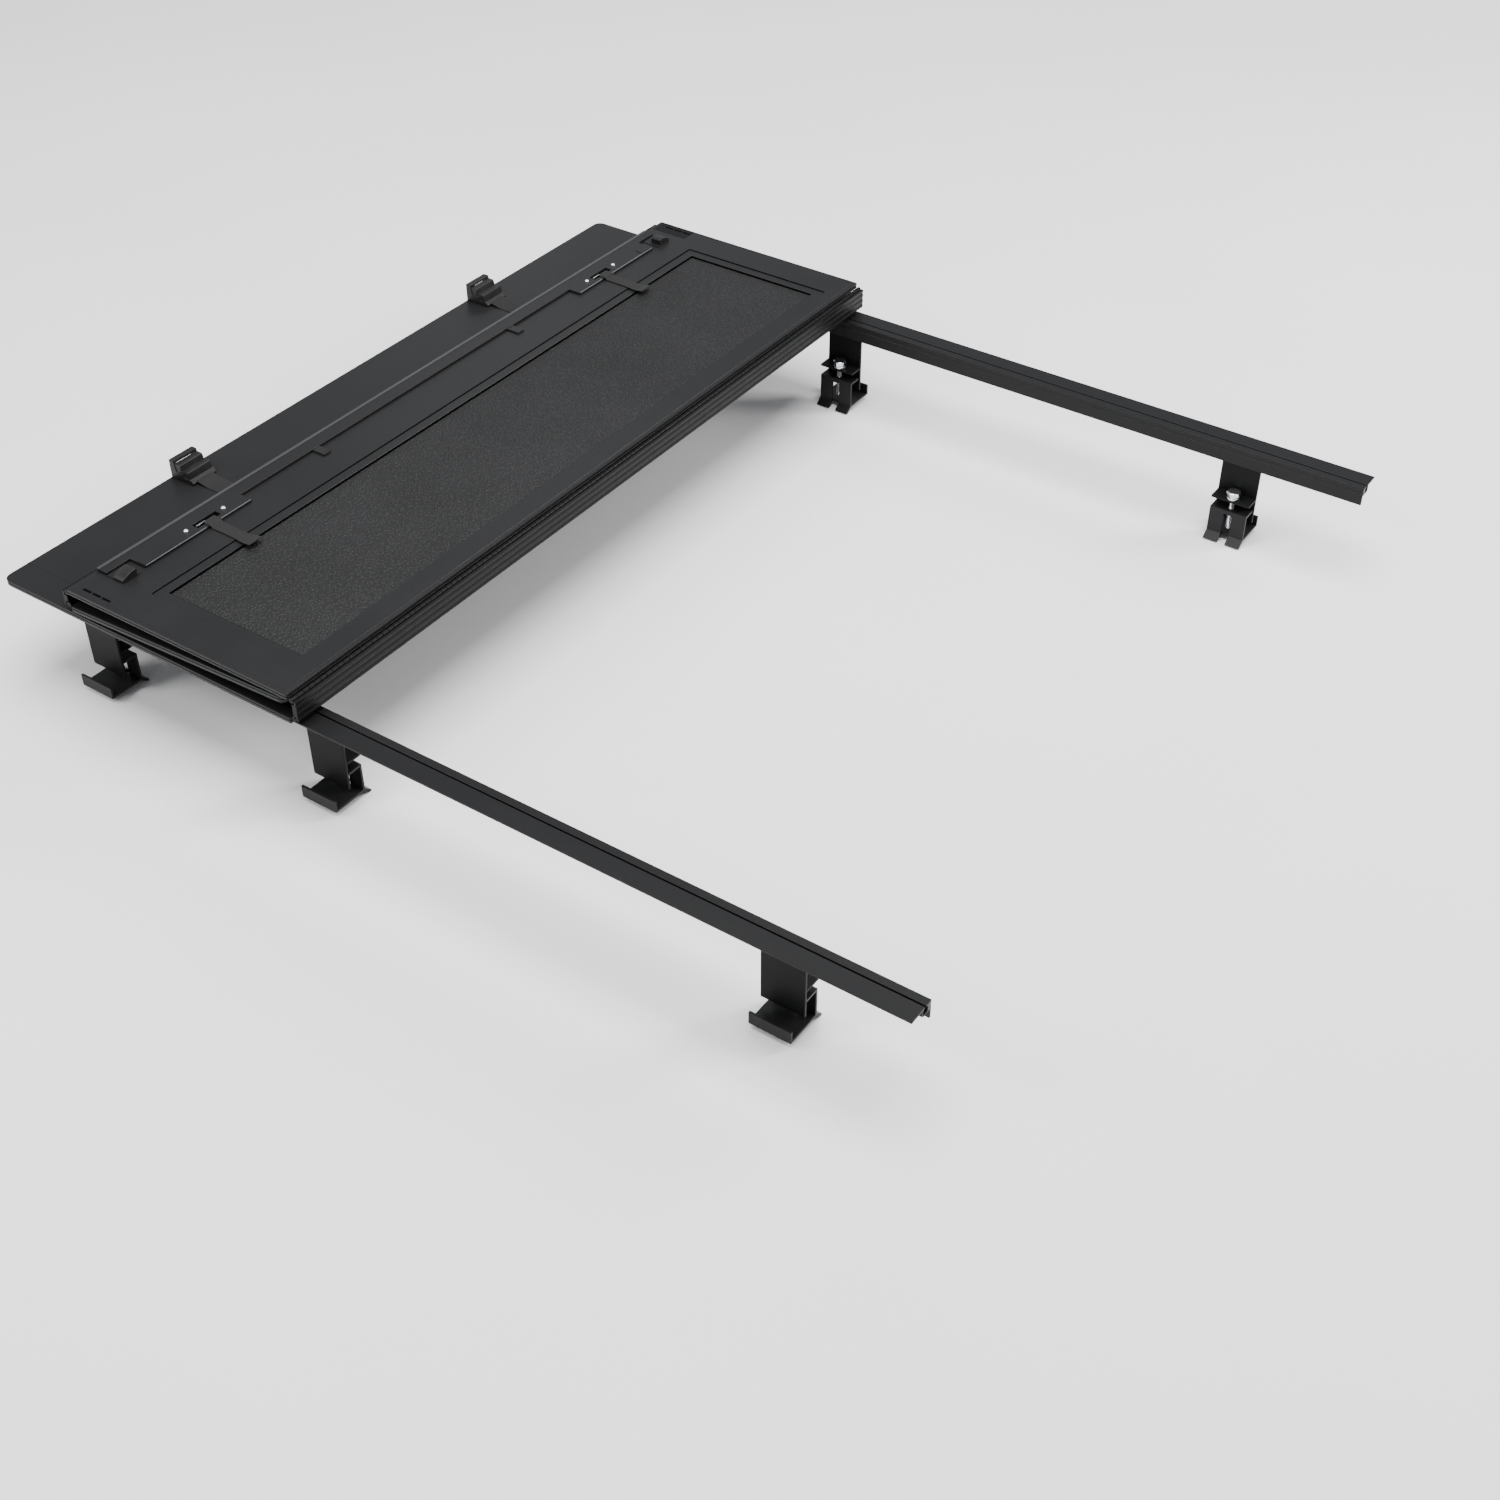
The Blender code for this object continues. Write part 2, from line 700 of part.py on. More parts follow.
def main():
    clear_scene()
    black = make_material("black_powder_coat", (0.030, 0.031, 0.033), 0.48, 0.0)
    strip_black = make_material("black_anodised", (0.036, 0.037, 0.040), 0.38, 0.6)
    board = make_material("textured_board", (0.024, 0.025, 0.027), 0.62, 0.0)
    bright = make_material("bright_metal", (0.72, 0.73, 0.74), 0.28, 1.0)
    tongue = make_material("moulded_black", (0.020, 0.020, 0.021), 0.50, 0.0)
    webbing = make_material("black_webbing", (0.014, 0.014, 0.015), 0.90, 0.0)
    rubber = make_material("black_rubber", (0.018, 0.018, 0.018), 0.85, 0.0)

    build_rails(black)
    build_clamps(black, bright)

    flip = Matrix.Rotation(math.pi, 4, "X")
    front_place = Matrix.Translation((0.0, Y_TAIL + COVER_LENGTH, Z_FRONT_SKIN)) @ flip
    middle_place = Matrix.Translation((0.0, Y_FRONT_AXIS, Z_MIDDLE_SKIN))
    tilt = Matrix.Rotation(math.pi - REAR_PANEL_TILT, 4, "X")
    rear_place = Matrix.Translation((0.0, Y_REAR_AXIS, Z_REAR_SKIN)) @ tilt

    build_panel(
        "front_panel", front_place, 0.0, FRONT_PANEL, (FREE_FRAME, HINGE_FRAME),
        ("end",), "start", black, board,
    )
    build_panel(
        "middle_panel", middle_place, HINGE_EDGE, MIDDLE_PANEL, (HINGE_FRAME, LATCH_FRAME),
        ("start", "end"), None, black, board,
    )
    build_panel(
        "rear_panel", rear_place, HINGE_EDGE, REAR_PANEL, (HINGE_FRAME, LATCH_FRAME),
        ("start",), "end", black, board,
    )
    build_strip(
        "front_hinge_strip", Y_FRONT_AXIS, Z_FRONT_SKIN, Z_MIDDLE_SKIN, -1, strip_black, bright
    )
    build_strip(
        "rear_hinge_strip", Y_REAR_AXIS, Z_REAR_SKIN, Z_MIDDLE_SKIN, 1, strip_black, bright
    )

    middle_edge = HINGE_EDGE + MIDDLE_PANEL - COVER_PLATE_SETBACK
    build_latches("middle_panel", middle_place, middle_edge, 1, black, tongue, webbing)
    seal_start = HINGE_EDGE + REAR_PANEL - SEAL_WIDTH - COVER_PLATE_SETBACK
    rear_edge = seal_start - COVER_PLATE_SETBACK
    build_latches("rear_panel", rear_place, rear_edge, 1, black, tongue, webbing)

    build_storage(tongue, webbing)
    front_edge = Y_TAIL + COVER_LENGTH - 0.002
    add_box(
        "bulkhead_seal",
        (-SEAL_HALF_LENGTH, SEAL_HALF_LENGTH),
        (front_edge - SEAL_WIDTH, front_edge),
        (Z_BED - BULKHEAD_SEAL_HEIGHT, Z_BED),
        rubber,
    )
    drop = Z_REAR_SKIN - Z_FRONT_SKIN - GAP
    seal_depth = (seal_start * math.sin(REAR_PANEL_TILT) + drop) / math.cos(REAR_PANEL_TILT)
    add_box(
        "tailgate_seal",
        (-SEAL_HALF_LENGTH, SEAL_HALF_LENGTH),
        (seal_start, seal_start + SEAL_WIDTH),
        (UNDERSIDE, seal_depth - GAP),
        rubber,
        rear_place,
    )


main()
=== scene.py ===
"""Finished look of the hard tri-fold tonneau cover: a small add-on that is run as a script."""

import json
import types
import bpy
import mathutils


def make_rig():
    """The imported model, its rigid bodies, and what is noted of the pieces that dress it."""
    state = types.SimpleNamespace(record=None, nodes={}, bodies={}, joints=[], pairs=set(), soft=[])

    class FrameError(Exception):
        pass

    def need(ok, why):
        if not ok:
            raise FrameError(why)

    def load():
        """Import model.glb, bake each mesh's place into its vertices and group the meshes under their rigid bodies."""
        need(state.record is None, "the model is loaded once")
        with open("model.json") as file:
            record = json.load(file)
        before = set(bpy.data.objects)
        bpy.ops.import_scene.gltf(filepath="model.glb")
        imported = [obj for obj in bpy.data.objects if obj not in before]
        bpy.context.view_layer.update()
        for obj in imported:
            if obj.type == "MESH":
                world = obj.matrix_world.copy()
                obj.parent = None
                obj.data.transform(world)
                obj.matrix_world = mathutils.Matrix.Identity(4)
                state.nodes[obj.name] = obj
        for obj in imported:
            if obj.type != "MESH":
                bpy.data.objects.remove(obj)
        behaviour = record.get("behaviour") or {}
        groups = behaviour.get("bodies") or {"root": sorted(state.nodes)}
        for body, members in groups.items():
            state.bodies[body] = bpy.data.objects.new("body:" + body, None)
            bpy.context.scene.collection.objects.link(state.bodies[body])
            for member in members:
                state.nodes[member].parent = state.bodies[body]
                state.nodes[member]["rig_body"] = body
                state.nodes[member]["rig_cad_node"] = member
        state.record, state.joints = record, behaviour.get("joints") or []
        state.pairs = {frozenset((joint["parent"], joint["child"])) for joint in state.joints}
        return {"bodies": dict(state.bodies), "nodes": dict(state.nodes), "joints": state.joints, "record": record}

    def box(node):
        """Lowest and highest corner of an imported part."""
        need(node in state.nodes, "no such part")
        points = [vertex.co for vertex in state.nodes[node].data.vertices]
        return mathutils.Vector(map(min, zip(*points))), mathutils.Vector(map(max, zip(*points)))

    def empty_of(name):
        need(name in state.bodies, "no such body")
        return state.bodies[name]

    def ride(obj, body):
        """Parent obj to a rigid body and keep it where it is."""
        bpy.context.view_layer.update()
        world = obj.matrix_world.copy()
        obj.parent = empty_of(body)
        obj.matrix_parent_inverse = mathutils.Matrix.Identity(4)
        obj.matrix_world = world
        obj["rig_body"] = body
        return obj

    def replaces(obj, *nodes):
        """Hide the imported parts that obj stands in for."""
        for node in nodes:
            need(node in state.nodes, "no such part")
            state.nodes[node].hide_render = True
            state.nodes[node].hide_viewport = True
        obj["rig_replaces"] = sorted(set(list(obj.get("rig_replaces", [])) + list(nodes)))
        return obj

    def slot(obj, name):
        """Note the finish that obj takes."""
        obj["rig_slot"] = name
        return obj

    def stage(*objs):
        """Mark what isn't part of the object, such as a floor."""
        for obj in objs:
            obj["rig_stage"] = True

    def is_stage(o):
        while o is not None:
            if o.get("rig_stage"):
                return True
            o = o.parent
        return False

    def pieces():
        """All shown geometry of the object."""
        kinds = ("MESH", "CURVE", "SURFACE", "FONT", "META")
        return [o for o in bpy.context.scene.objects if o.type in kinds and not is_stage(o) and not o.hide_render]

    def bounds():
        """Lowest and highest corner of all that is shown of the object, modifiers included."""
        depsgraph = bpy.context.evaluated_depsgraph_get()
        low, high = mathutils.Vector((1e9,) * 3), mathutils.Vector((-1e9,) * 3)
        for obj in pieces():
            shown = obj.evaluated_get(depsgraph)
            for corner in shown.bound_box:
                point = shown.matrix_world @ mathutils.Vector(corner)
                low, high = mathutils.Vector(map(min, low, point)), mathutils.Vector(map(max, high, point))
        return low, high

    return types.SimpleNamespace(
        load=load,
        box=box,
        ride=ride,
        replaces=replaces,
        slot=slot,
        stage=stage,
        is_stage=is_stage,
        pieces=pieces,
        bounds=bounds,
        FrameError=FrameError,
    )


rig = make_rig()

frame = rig.load()

import json
import math

import bmesh
import bpy
import numpy as np
from bpy.props import FloatProperty, FloatVectorProperty, PointerProperty
from mathutils import Vector

bl_info = {
    "name": "Folding bed cover finish",
    "version": (1, 0, 0),
    "blender": (4, 5, 0),
    "location": "3D View > Sidebar > Bed cover",
    "description": "Builds the finished surfaces of a hard folding bed cover on its frame",
    "category": "Object",
}

CAD_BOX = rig.bounds()
BODY_OF = {
    node: body for body, nodes in frame["record"]["behaviour"]["bodies"].items() for node in nodes
}
SIDES = ("left", "right")
ROWS = ("rear", "middle", "front")
TURN = 2 * math.pi

# Panels: the distance from hinge axis to first edge, and the frame's cross section.
PANEL_THICK = 0.011
HINGE_EDGE = 0.006
LEDGE = 0.022
LEDGE_STEP = 0.002
BOARD_THICK = 0.006
SIDE_FRAME = 0.0685
SKIN_SHEET_PROUD = 0.00025
SKIN_SHEET_LAP = 0.0145
SKIN_SHEET_SETBACK = 0.0012
REAR_TILT = math.radians(2.6536)
CORNER_RADIUS = {"round": 0.016, "square": 0.003}

# Hinges.
BARREL_RADIUS = 0.0044
STRIP_DEPTH = 0.010
STRIP_WALL = 0.0055

# Latch covers: distances along x from a strap's middle or from the panel's middle.
SCREW_FROM_STRAP = {"inner": -0.041, "outer": 0.0445}
SCREW_FROM_SLOT = 0.002
SLOT_FROM_COVER_BACK = 0.018
SLOT_HALF_SIZE = (0.0264, 0.0074)
COVER_BASE_ABOVE_BOARD = 0.005
COVER_GLINT_ENDS = (0.4545, 0.6930)
LIFT_TAB_X = (0.259, 0.277)
LIFT_TAB_BEHIND_EDGE = (-0.060, -0.030)
PRESSED_PAD_X = (0.660, 0.6943)
PRESSED_PAD_AHEAD_OF_BACK = (0.0010, 0.0180)
LATCH_DETAILS = (
    "cover_screw", "strap_slot", "latch_cover_edge", "lift_tab", "pressed_pad", "side_cap",
    "latch_cover_lip",
)
CAM_LENGTH = 0.031
CAM_WIDTH = 0.024
TONGUE_PLATE = 0.0012
SIDE_CAP_X = (0.7700, 0.8070)
SIDE_CAP_BEHIND_EDGE = (-0.084, -0.004)
CAP_SLOT_X = (0.7905, 0.7955)
CAP_SLOT_START = 0.020
CAP_SLOT_PITCH = 0.022
CAP_SLOT_LENGTH = 0.019

# Straps, buckle ribs (y and z from the buckle's cab edge and base) and clamp bolts.
STRAP_THICK = 0.0014
BUCKLE_RIBS = {
    "upper_rib": [
        (-0.0300, 0.0160), (-0.0120, 0.0160), (-0.0120, 0.0312), (-0.0262, 0.0312),
    ],
    "lower_rib": [
        (-0.0475, 0.0090), (-0.0290, 0.0090), (-0.0290, 0.0225), (-0.0438, 0.0225),
    ],
}
BOLT_HEAD_HEIGHT = 0.014
BOLT_SHANK_RADIUS = 0.005
THREAD_DEPTH = 0.0008

# Stage: each lamp's place, aim, size and power.
FLOOR_HALF_SIZE = 40.0
FLOOR_GAP = 0.0005
LAMPS = {
    "key": ((-3.4, 2.4, 3.2), (0.0, 0.25, 0.2), 1.8, 130.0),
    "rim": ((3.4, -3.4, 2.7), (0.0, 0.3, 0.2), 1.6, 240.0),
    "back": ((3.35, 3.4, 2.75), (0.1, 0.5, 0.24), 1.0, 5.0),
    "top": ((0.0, -0.3, 6.0), (0.0, -0.3, 0.0), 5.0, 800.0),
}
WORLD_COLOUR = (0.95, 0.96, 1.0, 1.0)
WORLD_STRENGTH = 0.55
CAMERA_PLACE = (-2.446, -1.7545, 2.185)
CAMERA_TURN = (math.radians(90.0 - 39.76), 0.0, math.radians(-55.5))
CAMERA_LENS = 49.94
CAMERA_SENSOR = 36.0


def low(node):
    """Lowest corner of a CAD node."""
    return np.array(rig.box(node)[0])


def high(node):
    """Highest corner of a CAD node."""
    return np.array(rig.box(node)[1])


# ---------------- sizes and colours


def length(name, words, value):
    """A length property in metres."""
    return FloatProperty(name=name, description=words, default=value, min=0.0, unit="LENGTH")


def colour(name, words, value):
    """A colour property."""
    return FloatVectorProperty(
        name=name, description=words, default=value, min=0.0, max=1.0, size=3, subtype="COLOR"
    )


class CoverSizes(bpy.types.PropertyGroup):
    """Sizes a user may change."""

    edge: length("Edge radius", "Rounding of the coated edges", 0.0008)
    fine_edge: length("Fine edge radius", "Rounding of the thin edges", 0.0004)
    plate_edge: length("Cover plate edge", "Rounding of the latch covers", 0.0018)
    knuckle: length("Knuckle pitch", "Length of one hinge knuckle", 0.0127)
    thread: length("Thread pitch", "Pitch of the clamp bolts", 0.0015)
    screw: length("Screw head radius", "Radius of the cover plate screws", 0.0042)
    weave: length("Weave pitch", "Width of one cord of the webbing", 0.0016)
    pebble: length("Pebble size", "Size of the board's grain", 0.0046)


class CoverColours(bpy.types.PropertyGroup):
    """Colours a user may change."""

    coat: colour("Coat", "Powder coat of the frames and rails", (0.0085, 0.0086, 0.0090))
    board: colour("Board", "Grained boards", (0.0072, 0.0073, 0.0075))
    plastic: colour("Plastic", "Moulded latch and buckle parts", (0.0070, 0.0070, 0.0073))
    webbing: colour("Webbing", "Woven straps", (0.0050, 0.0050, 0.0053))
    rubber: colour("Rubber", "Seals", (0.0100, 0.0100, 0.0100))
    bright: colour("Bright metal", "Bolts, slot bars and screws", (0.70, 0.71, 0.73))
    floor: colour("Floor", "Studio floor", (0.80, 0.80, 0.80))


# ---------------- materials


def new_material(name):
    """A material with its shader and a reader of Object coordinates."""
    material = bpy.data.materials.new(name)
    material.use_nodes = True
    nodes = material.node_tree.nodes
    links = material.node_tree.links
    place = nodes.new("ShaderNodeTexCoord").outputs["Object"]
    return material, nodes, links, nodes["Principled BSDF"], place


def noise(nodes, links, place, scale, detail=3.0, roughness=0.55):
    """Noise on the piece's own coordinates."""
    node = nodes.new("ShaderNodeTexNoise")
    node.inputs["Scale"].default_value = scale
    node.inputs["Detail"].default_value = detail
    node.inputs["Roughness"].default_value = roughness
    links.new(place, node.inputs["Vector"])
    return node.outputs["Fac"]


def spread(nodes, links, value, start, end, first=0.35, last=0.65):
    """Maps a 0 to 1 pattern onto a range."""
    node = nodes.new("ShaderNodeMapRange")
    node.inputs["From Min"].default_value = first
    node.inputs["From Max"].default_value = last
    node.inputs["To Min"].default_value = start
    node.inputs["To Max"].default_value = end
    links.new(value, node.inputs["Value"])
    return node.outputs["Result"]


def blend_colours(nodes, links, value, first, second):
    """Mixes two colours by a pattern."""
    node = nodes.new("ShaderNodeMix")
    node.data_type = "RGBA"
    node.inputs["A"].default_value = (*first, 1.0)
    node.inputs["B"].default_value = (*second, 1.0)
    links.new(value, node.inputs["Factor"])
    return node.outputs["Result"]


def bump(nodes, links, height, strength, depth, under=None):
    """Bump from a height pattern, on top of another bump if one is given."""
    node = nodes.new("ShaderNodeBump")
    node.inputs["Strength"].default_value = strength
    node.inputs["Distance"].default_value = depth
    links.new(height, node.inputs["Height"])
    if under is not None:
        links.new(under, node.inputs["Normal"])
    return node.outputs["Normal"]


def scaled(tint, factor):
    """A colour made lighter or darker."""
    return tuple(min(1.0, c * factor) for c in tint)


def coat_material(name, tint, gloss, shine=0.18, drag=(1.0, 1.0, 1.0)):
    """Powder coat: orange-peel bump, cloudy tone, faint dust and scuffs."""
    material, nodes, links, shader, place = new_material(name)
    mapping = nodes.new("ShaderNodeMapping")
    mapping.inputs["Scale"].default_value = drag
    links.new(place, mapping.inputs["Vector"])
    cloud = noise(nodes, links, mapping.outputs["Vector"], 6.0, 4.0)
    speck = noise(nodes, links, mapping.outputs["Vector"], 900.0, 1.0)
    peel = noise(nodes, links, mapping.outputs["Vector"], 700.0, 2.0)
    dark_to_light = spread(nodes, links, cloud, 0.0, 1.0)
    base = blend_colours(nodes, links, dark_to_light, scaled(tint, 0.93), scaled(tint, 1.07))
    dust = nodes.new("ShaderNodeMix")
    dust.data_type = "RGBA"
    links.new(spread(nodes, links, speck, 0.0, 0.16, 0.56, 0.74), dust.inputs["Factor"])
    links.new(base, dust.inputs["A"])
    dust.inputs["B"].default_value = (*scaled(tint, 3.4), 1.0)
    links.new(dust.outputs["Result"], shader.inputs["Base Color"])
    links.new(spread(nodes, links, cloud, gloss - 0.02, gloss + 0.03), shader.inputs["Roughness"])
    links.new(bump(nodes, links, peel, 0.20, 0.00025), shader.inputs["Normal"])
    shader.inputs["Specular IOR Level"].default_value = shine
    return material


def board_material(name, tint, pebble):
    """Pebble-grained sheet: rounded cells with fine grit between them, and painted highlights on the cells' crests."""
    material, nodes, links, shader, place = new_material(name)
    cells = nodes.new("ShaderNodeTexVoronoi")
    cells.feature = "SMOOTH_F1"
    cells.inputs["Scale"].default_value = 1.0 / pebble
    cells.inputs["Smoothness"].default_value = 0.35
    links.new(place, cells.inputs["Vector"])
    grit = noise(nodes, links, place, 1400.0, 2.0)
    cloud = noise(nodes, links, place, 5.0, 4.0)
    domes = spread(nodes, links, cells.outputs["Distance"], 1.0, 0.0, 0.0, 0.75)
    base = blend_colours(
        nodes, links, spread(nodes, links, cloud, 0.0, 1.0), scaled(tint, 0.85), scaled(tint, 1.2)
    )
    # Painted highlight: the tops of the pebble domes are mixed toward a tone 3.2 times lighter, standing for the light
    # they catch.
    crest_highlight = nodes.new("ShaderNodeMix")
    crest_highlight.data_type = "RGBA"
    links.new(spread(nodes, links, domes, 0.0, 0.75, 0.45, 1.0), crest_highlight.inputs["Factor"])
    links.new(base, crest_highlight.inputs["A"])
    crest_highlight.inputs["B"].default_value = (*scaled(tint, 3.2), 1.0)
    links.new(crest_highlight.outputs["Result"], shader.inputs["Base Color"])
    links.new(spread(nodes, links, domes, 0.54, 0.34, 0.2, 1.0), shader.inputs["Roughness"])
    coarse = bump(nodes, links, domes, 1.0, 0.0012)
    links.new(bump(nodes, links, grit, 0.25, 0.0002, coarse), shader.inputs["Normal"])
    shader.inputs["Specular IOR Level"].default_value = 0.23
    return material


def moulded_material(name, tint, gloss=0.46, grain=1100.0, shine=0.26):
    """Moulded plastic or rubber: fine spark-eroded grain and slightly uneven gloss."""
    material, nodes, links, shader, place = new_material(name)
    grit = noise(nodes, links, place, grain, 2.0)
    cloud = noise(nodes, links, place, 25.0, 3.0)
    fade = spread(nodes, links, cloud, 0.0, 1.0)
    tone = blend_colours(nodes, links, fade, scaled(tint, 0.8), scaled(tint, 1.35))
    links.new(tone, shader.inputs["Base Color"])
    links.new(spread(nodes, links, cloud, gloss - 0.06, gloss + 0.08), shader.inputs["Roughness"])
    links.new(bump(nodes, links, grit, 0.25, 0.00015), shader.inputs["Normal"])
    shader.inputs["Specular IOR Level"].default_value = shine
    return material


def bright_material(name, tint, gloss, stretch=(1.0, 1.0, 1.0), depth=0.00004):
    """Plated or milled metal: drawn scratches, a cloudy plating tone and uneven gloss."""
    material, nodes, links, shader, place = new_material(name)
    mapping = nodes.new("ShaderNodeMapping")
    mapping.inputs["Scale"].default_value = stretch
    links.new(place, mapping.inputs["Vector"])
    scratch = noise(nodes, links, mapping.outputs["Vector"], 1500.0, 2.0)
    cloud = noise(nodes, links, place, 90.0, 3.0)
    fade = spread(nodes, links, cloud, 0.0, 1.0)
    tone = blend_colours(nodes, links, fade, scaled(tint, 0.82), scaled(tint, 1.08))
    links.new(tone, shader.inputs["Base Color"])
    links.new(spread(nodes, links, scratch, gloss - 0.06, gloss + 0.10), shader.inputs["Roughness"])
    links.new(bump(nodes, links, scratch, 0.15, depth), shader.inputs["Normal"])
    shader.inputs["Metallic"].default_value = 1.0
    return material


def webbing_material(name, tint, pitch):
    """Woven webbing on the strap's own UV map, in metres: cords cross over and under."""
    material, nodes, links, shader, _ = new_material(name)
    uv = nodes.new("ShaderNodeUVMap")
    uv.uv_map = "strap"
    heights = []
    for direction in "XY":
        wave = nodes.new("ShaderNodeTexWave")
        wave.bands_direction = direction
        wave.inputs["Scale"].default_value = math.pi / 10 / pitch
        wave.inputs["Distortion"].default_value = 0.4
        wave.inputs["Detail"].default_value = 1.0
        links.new(uv.outputs["UV"], wave.inputs["Vector"])
        heights.append(wave.outputs["Fac"])
    weave = nodes.new("ShaderNodeMath")
    weave.operation = "MULTIPLY"
    links.new(heights[0], weave.inputs[0])
    links.new(heights[1], weave.inputs[1])
    fuzz = noise(nodes, links, uv.outputs["UV"], 2200.0, 2.0)
    tone = blend_colours(nodes, links, weave.outputs["Value"], scaled(tint, 0.7), scaled(tint, 1.7))
    links.new(tone, shader.inputs["Base Color"])
    links.new(spread(nodes, links, fuzz, 0.66, 0.80), shader.inputs["Roughness"])
    links.new(bump(nodes, links, weave.outputs["Value"], 0.45, 0.0003), shader.inputs["Normal"])
    shader.inputs["Specular IOR Level"].default_value = 0.30
    shader.inputs["Sheen Weight"].default_value = 0.06
    shader.inputs["Sheen Roughness"].default_value = 0.4
    return material


def floor_material(name, tint):
    """Matt studio floor with a very faint cloud."""
    material, nodes, links, shader, place = new_material(name)
    cloud = noise(nodes, links, place, 1.5, 3.0)
    fade = spread(nodes, links, cloud, 0.0, 1.0)
    tone = blend_colours(nodes, links, fade, scaled(tint, 0.985), scaled(tint, 1.01))
    links.new(tone, shader.inputs["Base Color"])
    shader.inputs["Roughness"].default_value = 0.85
    return material


FINISHES = {}
RECORD_SLOTS = {
    "frame_coat": "black_powder_coat",
    "rail_coat": "black_powder_coat",
    "clamp_coat": "black_powder_coat",
    "jaw_coat": "black_powder_coat",
    # The painted highlight band and the painted glint strips keep the powder coat's record slot.
    "lip_coat": "black_powder_coat",
    "edge_glint": "black_powder_coat",
    "hinge_coat": "black_anodised",
    "grained_board": "textured_board",
    "moulded_black": "moulded_black",
    # The gap finish is painted shade; it shares the moulded plastic's record slot.
    "gap_shadow": "moulded_black",
    "seal_rubber": "black_rubber",
    "strap_webbing": "black_webbing",
    "plated_bolt": "bright_metal",
    "screw_head": "bright_metal",
}


def finish(name):
    """The finish of that name, made the first time it is asked for."""
    if name not in FINISHES:
        sizes = bpy.context.scene.cover_sizes
        tints = bpy.context.scene.cover_colours
        makers = {
            "frame_coat": lambda: coat_material(name, tuple(tints.coat), 0.40),
            "rail_coat": lambda: coat_material(
                name, tuple(tints.coat), 0.36, 0.14, drag=(1, 0.25, 1)
            ),
            "hinge_coat": lambda: coat_material(
                name, scaled(tints.coat, 0.6), 0.34, 0.09, drag=(0.25, 1, 1)
            ),
            # Painted highlight: the coat four times lighter, for the band along the latch cover's cab edge that stands
            # for the bright floor mirrored in its bevel.
            "lip_coat": lambda: coat_material(name, scaled(tints.coat, 4.0), 0.42),
            # Painted highlight: the coat thirteen times lighter, for the thin glint strips along the latch covers'
            # back edges.
            "edge_glint": lambda: coat_material(name, scaled(tints.coat, 13.0), 0.32, 0.4),
            "jaw_coat": lambda: coat_material(name, scaled(tints.coat, 1.3), 0.36, 0.14),
            # Painted shade: near-black, barely reflective plastic for grooves, slot floors and slot marks where only
            # shade falls.
            "gap_shadow": lambda: moulded_material(
                name, scaled(tints.plastic, 0.2), 0.80, shine=0.02
            ),
            "clamp_coat": lambda: coat_material(name, scaled(tints.coat, 0.6), 0.42, 0.08),
            "grained_board": lambda: board_material(name, tuple(tints.board), sizes.pebble),
            "moulded_black": lambda: moulded_material(name, tuple(tints.plastic)),
            "seal_rubber": lambda: moulded_material(name, tuple(tints.rubber), 0.72, 600.0),
            "plated_bolt": lambda: bright_material(name, tuple(tints.bright), 0.20),
            "screw_head": lambda: bright_material(name, scaled(tints.bright, 1.35), 0.30),
            "strap_webbing": lambda: webbing_material(name, tuple(tints.webbing), sizes.weave),
            "floor": lambda: floor_material(name, tuple(tints.floor)),
        }
        FINISHES[name] = makers[name]()
    return FINISHES[name]


# ---------------- mesh makers


def make_piece(name, mesh, finish_name, body, nodes=(), smooth_angle=40.0, flat_faces=True):
    """Links a mesh as a piece that rides on a body and stands for these CAD nodes."""
    obj = bpy.data.objects.new(name, mesh)
    bpy.context.scene.collection.objects.link(obj)
    mesh.materials.clear()
    mesh.materials.append(finish(finish_name))
    mesh.shade_smooth()
    mesh.set_sharp_from_angle(angle=math.radians(smooth_angle))
    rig.ride(obj, body)
    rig.slot(obj, RECORD_SLOTS[finish_name])
    if nodes:
        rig.replaces(obj, *nodes)
    if flat_faces:
        keep_flats_flat(obj)
    return obj


def keep_flats_flat(obj):
    """Lets the large faces set the shading, so that only the rounded edges look curved."""
    modifier = obj.modifiers.new("flat faces", "WEIGHTED_NORMAL")
    modifier.mode = "FACE_AREA"
    modifier.weight = 80
    modifier.keep_sharp = True


def mesh_from_arrays(name, points, faces, uv=None):
    """A mesh from an (n, 3) array and faces; uv is an (n, 2) array of metres along the surface."""
    mesh = bpy.data.meshes.new(name)
    mesh.from_pydata(points.reshape(-1, 3).tolist(), [], faces)
    if uv is not None:
        layer = mesh.uv_layers.new(name="strap")
        index = np.empty(len(mesh.loops), np.int32)
        mesh.loops.foreach_get("vertex_index", index)
        layer.data.foreach_set("uv", uv.reshape(-1, 2)[index].astype(np.float32).ravel())
    mesh.update()
    return mesh


def facing_out(mesh):
    """Turns the mesh's faces outward."""
    shape = bmesh.new()
    shape.from_mesh(mesh)
    bmesh.ops.recalc_face_normals(shape, faces=shape.faces)
    if shape.calc_volume(signed=True) < 0:
        bmesh.ops.reverse_faces(shape, faces=shape.faces)
    shape.to_mesh(mesh)
    shape.free()
    return mesh


def grid_faces(rows, columns, wrap_rows):
    """Quads joining neighbours of a grid, closed along its columns and, if asked, its rows."""
    i = np.arange(rows if wrap_rows else rows - 1)
    a, b = (g.ravel() for g in np.meshgrid(i, np.arange(columns), indexing="ij"))
    right = (b + 1) % columns
    below = (a + 1) % rows
    quads = [a * columns + b, a * columns + right, below * columns + right, below * columns + b]
    return np.stack(quads, axis=1)


def capped_tube(name, rings, uv=None):
    """A closed skin over (rings, points, 3): each ring joined to the next, the ends capped."""
    count, points = rings.shape[:2]
    faces = grid_faces(count, points, False).tolist()
    faces.append(list(range(points)))
    faces.append([(count - 1) * points + k for k in range(points)])
    return facing_out(mesh_from_arrays(name, rings, faces, uv))


def torus_skin(name, rings):
    """A closed skin over (rings, points, 3) that joins up both ways, like a picture frame."""
    faces = grid_faces(rings.shape[0], rings.shape[1], True).tolist()
    return facing_out(mesh_from_arrays(name, rings, faces))


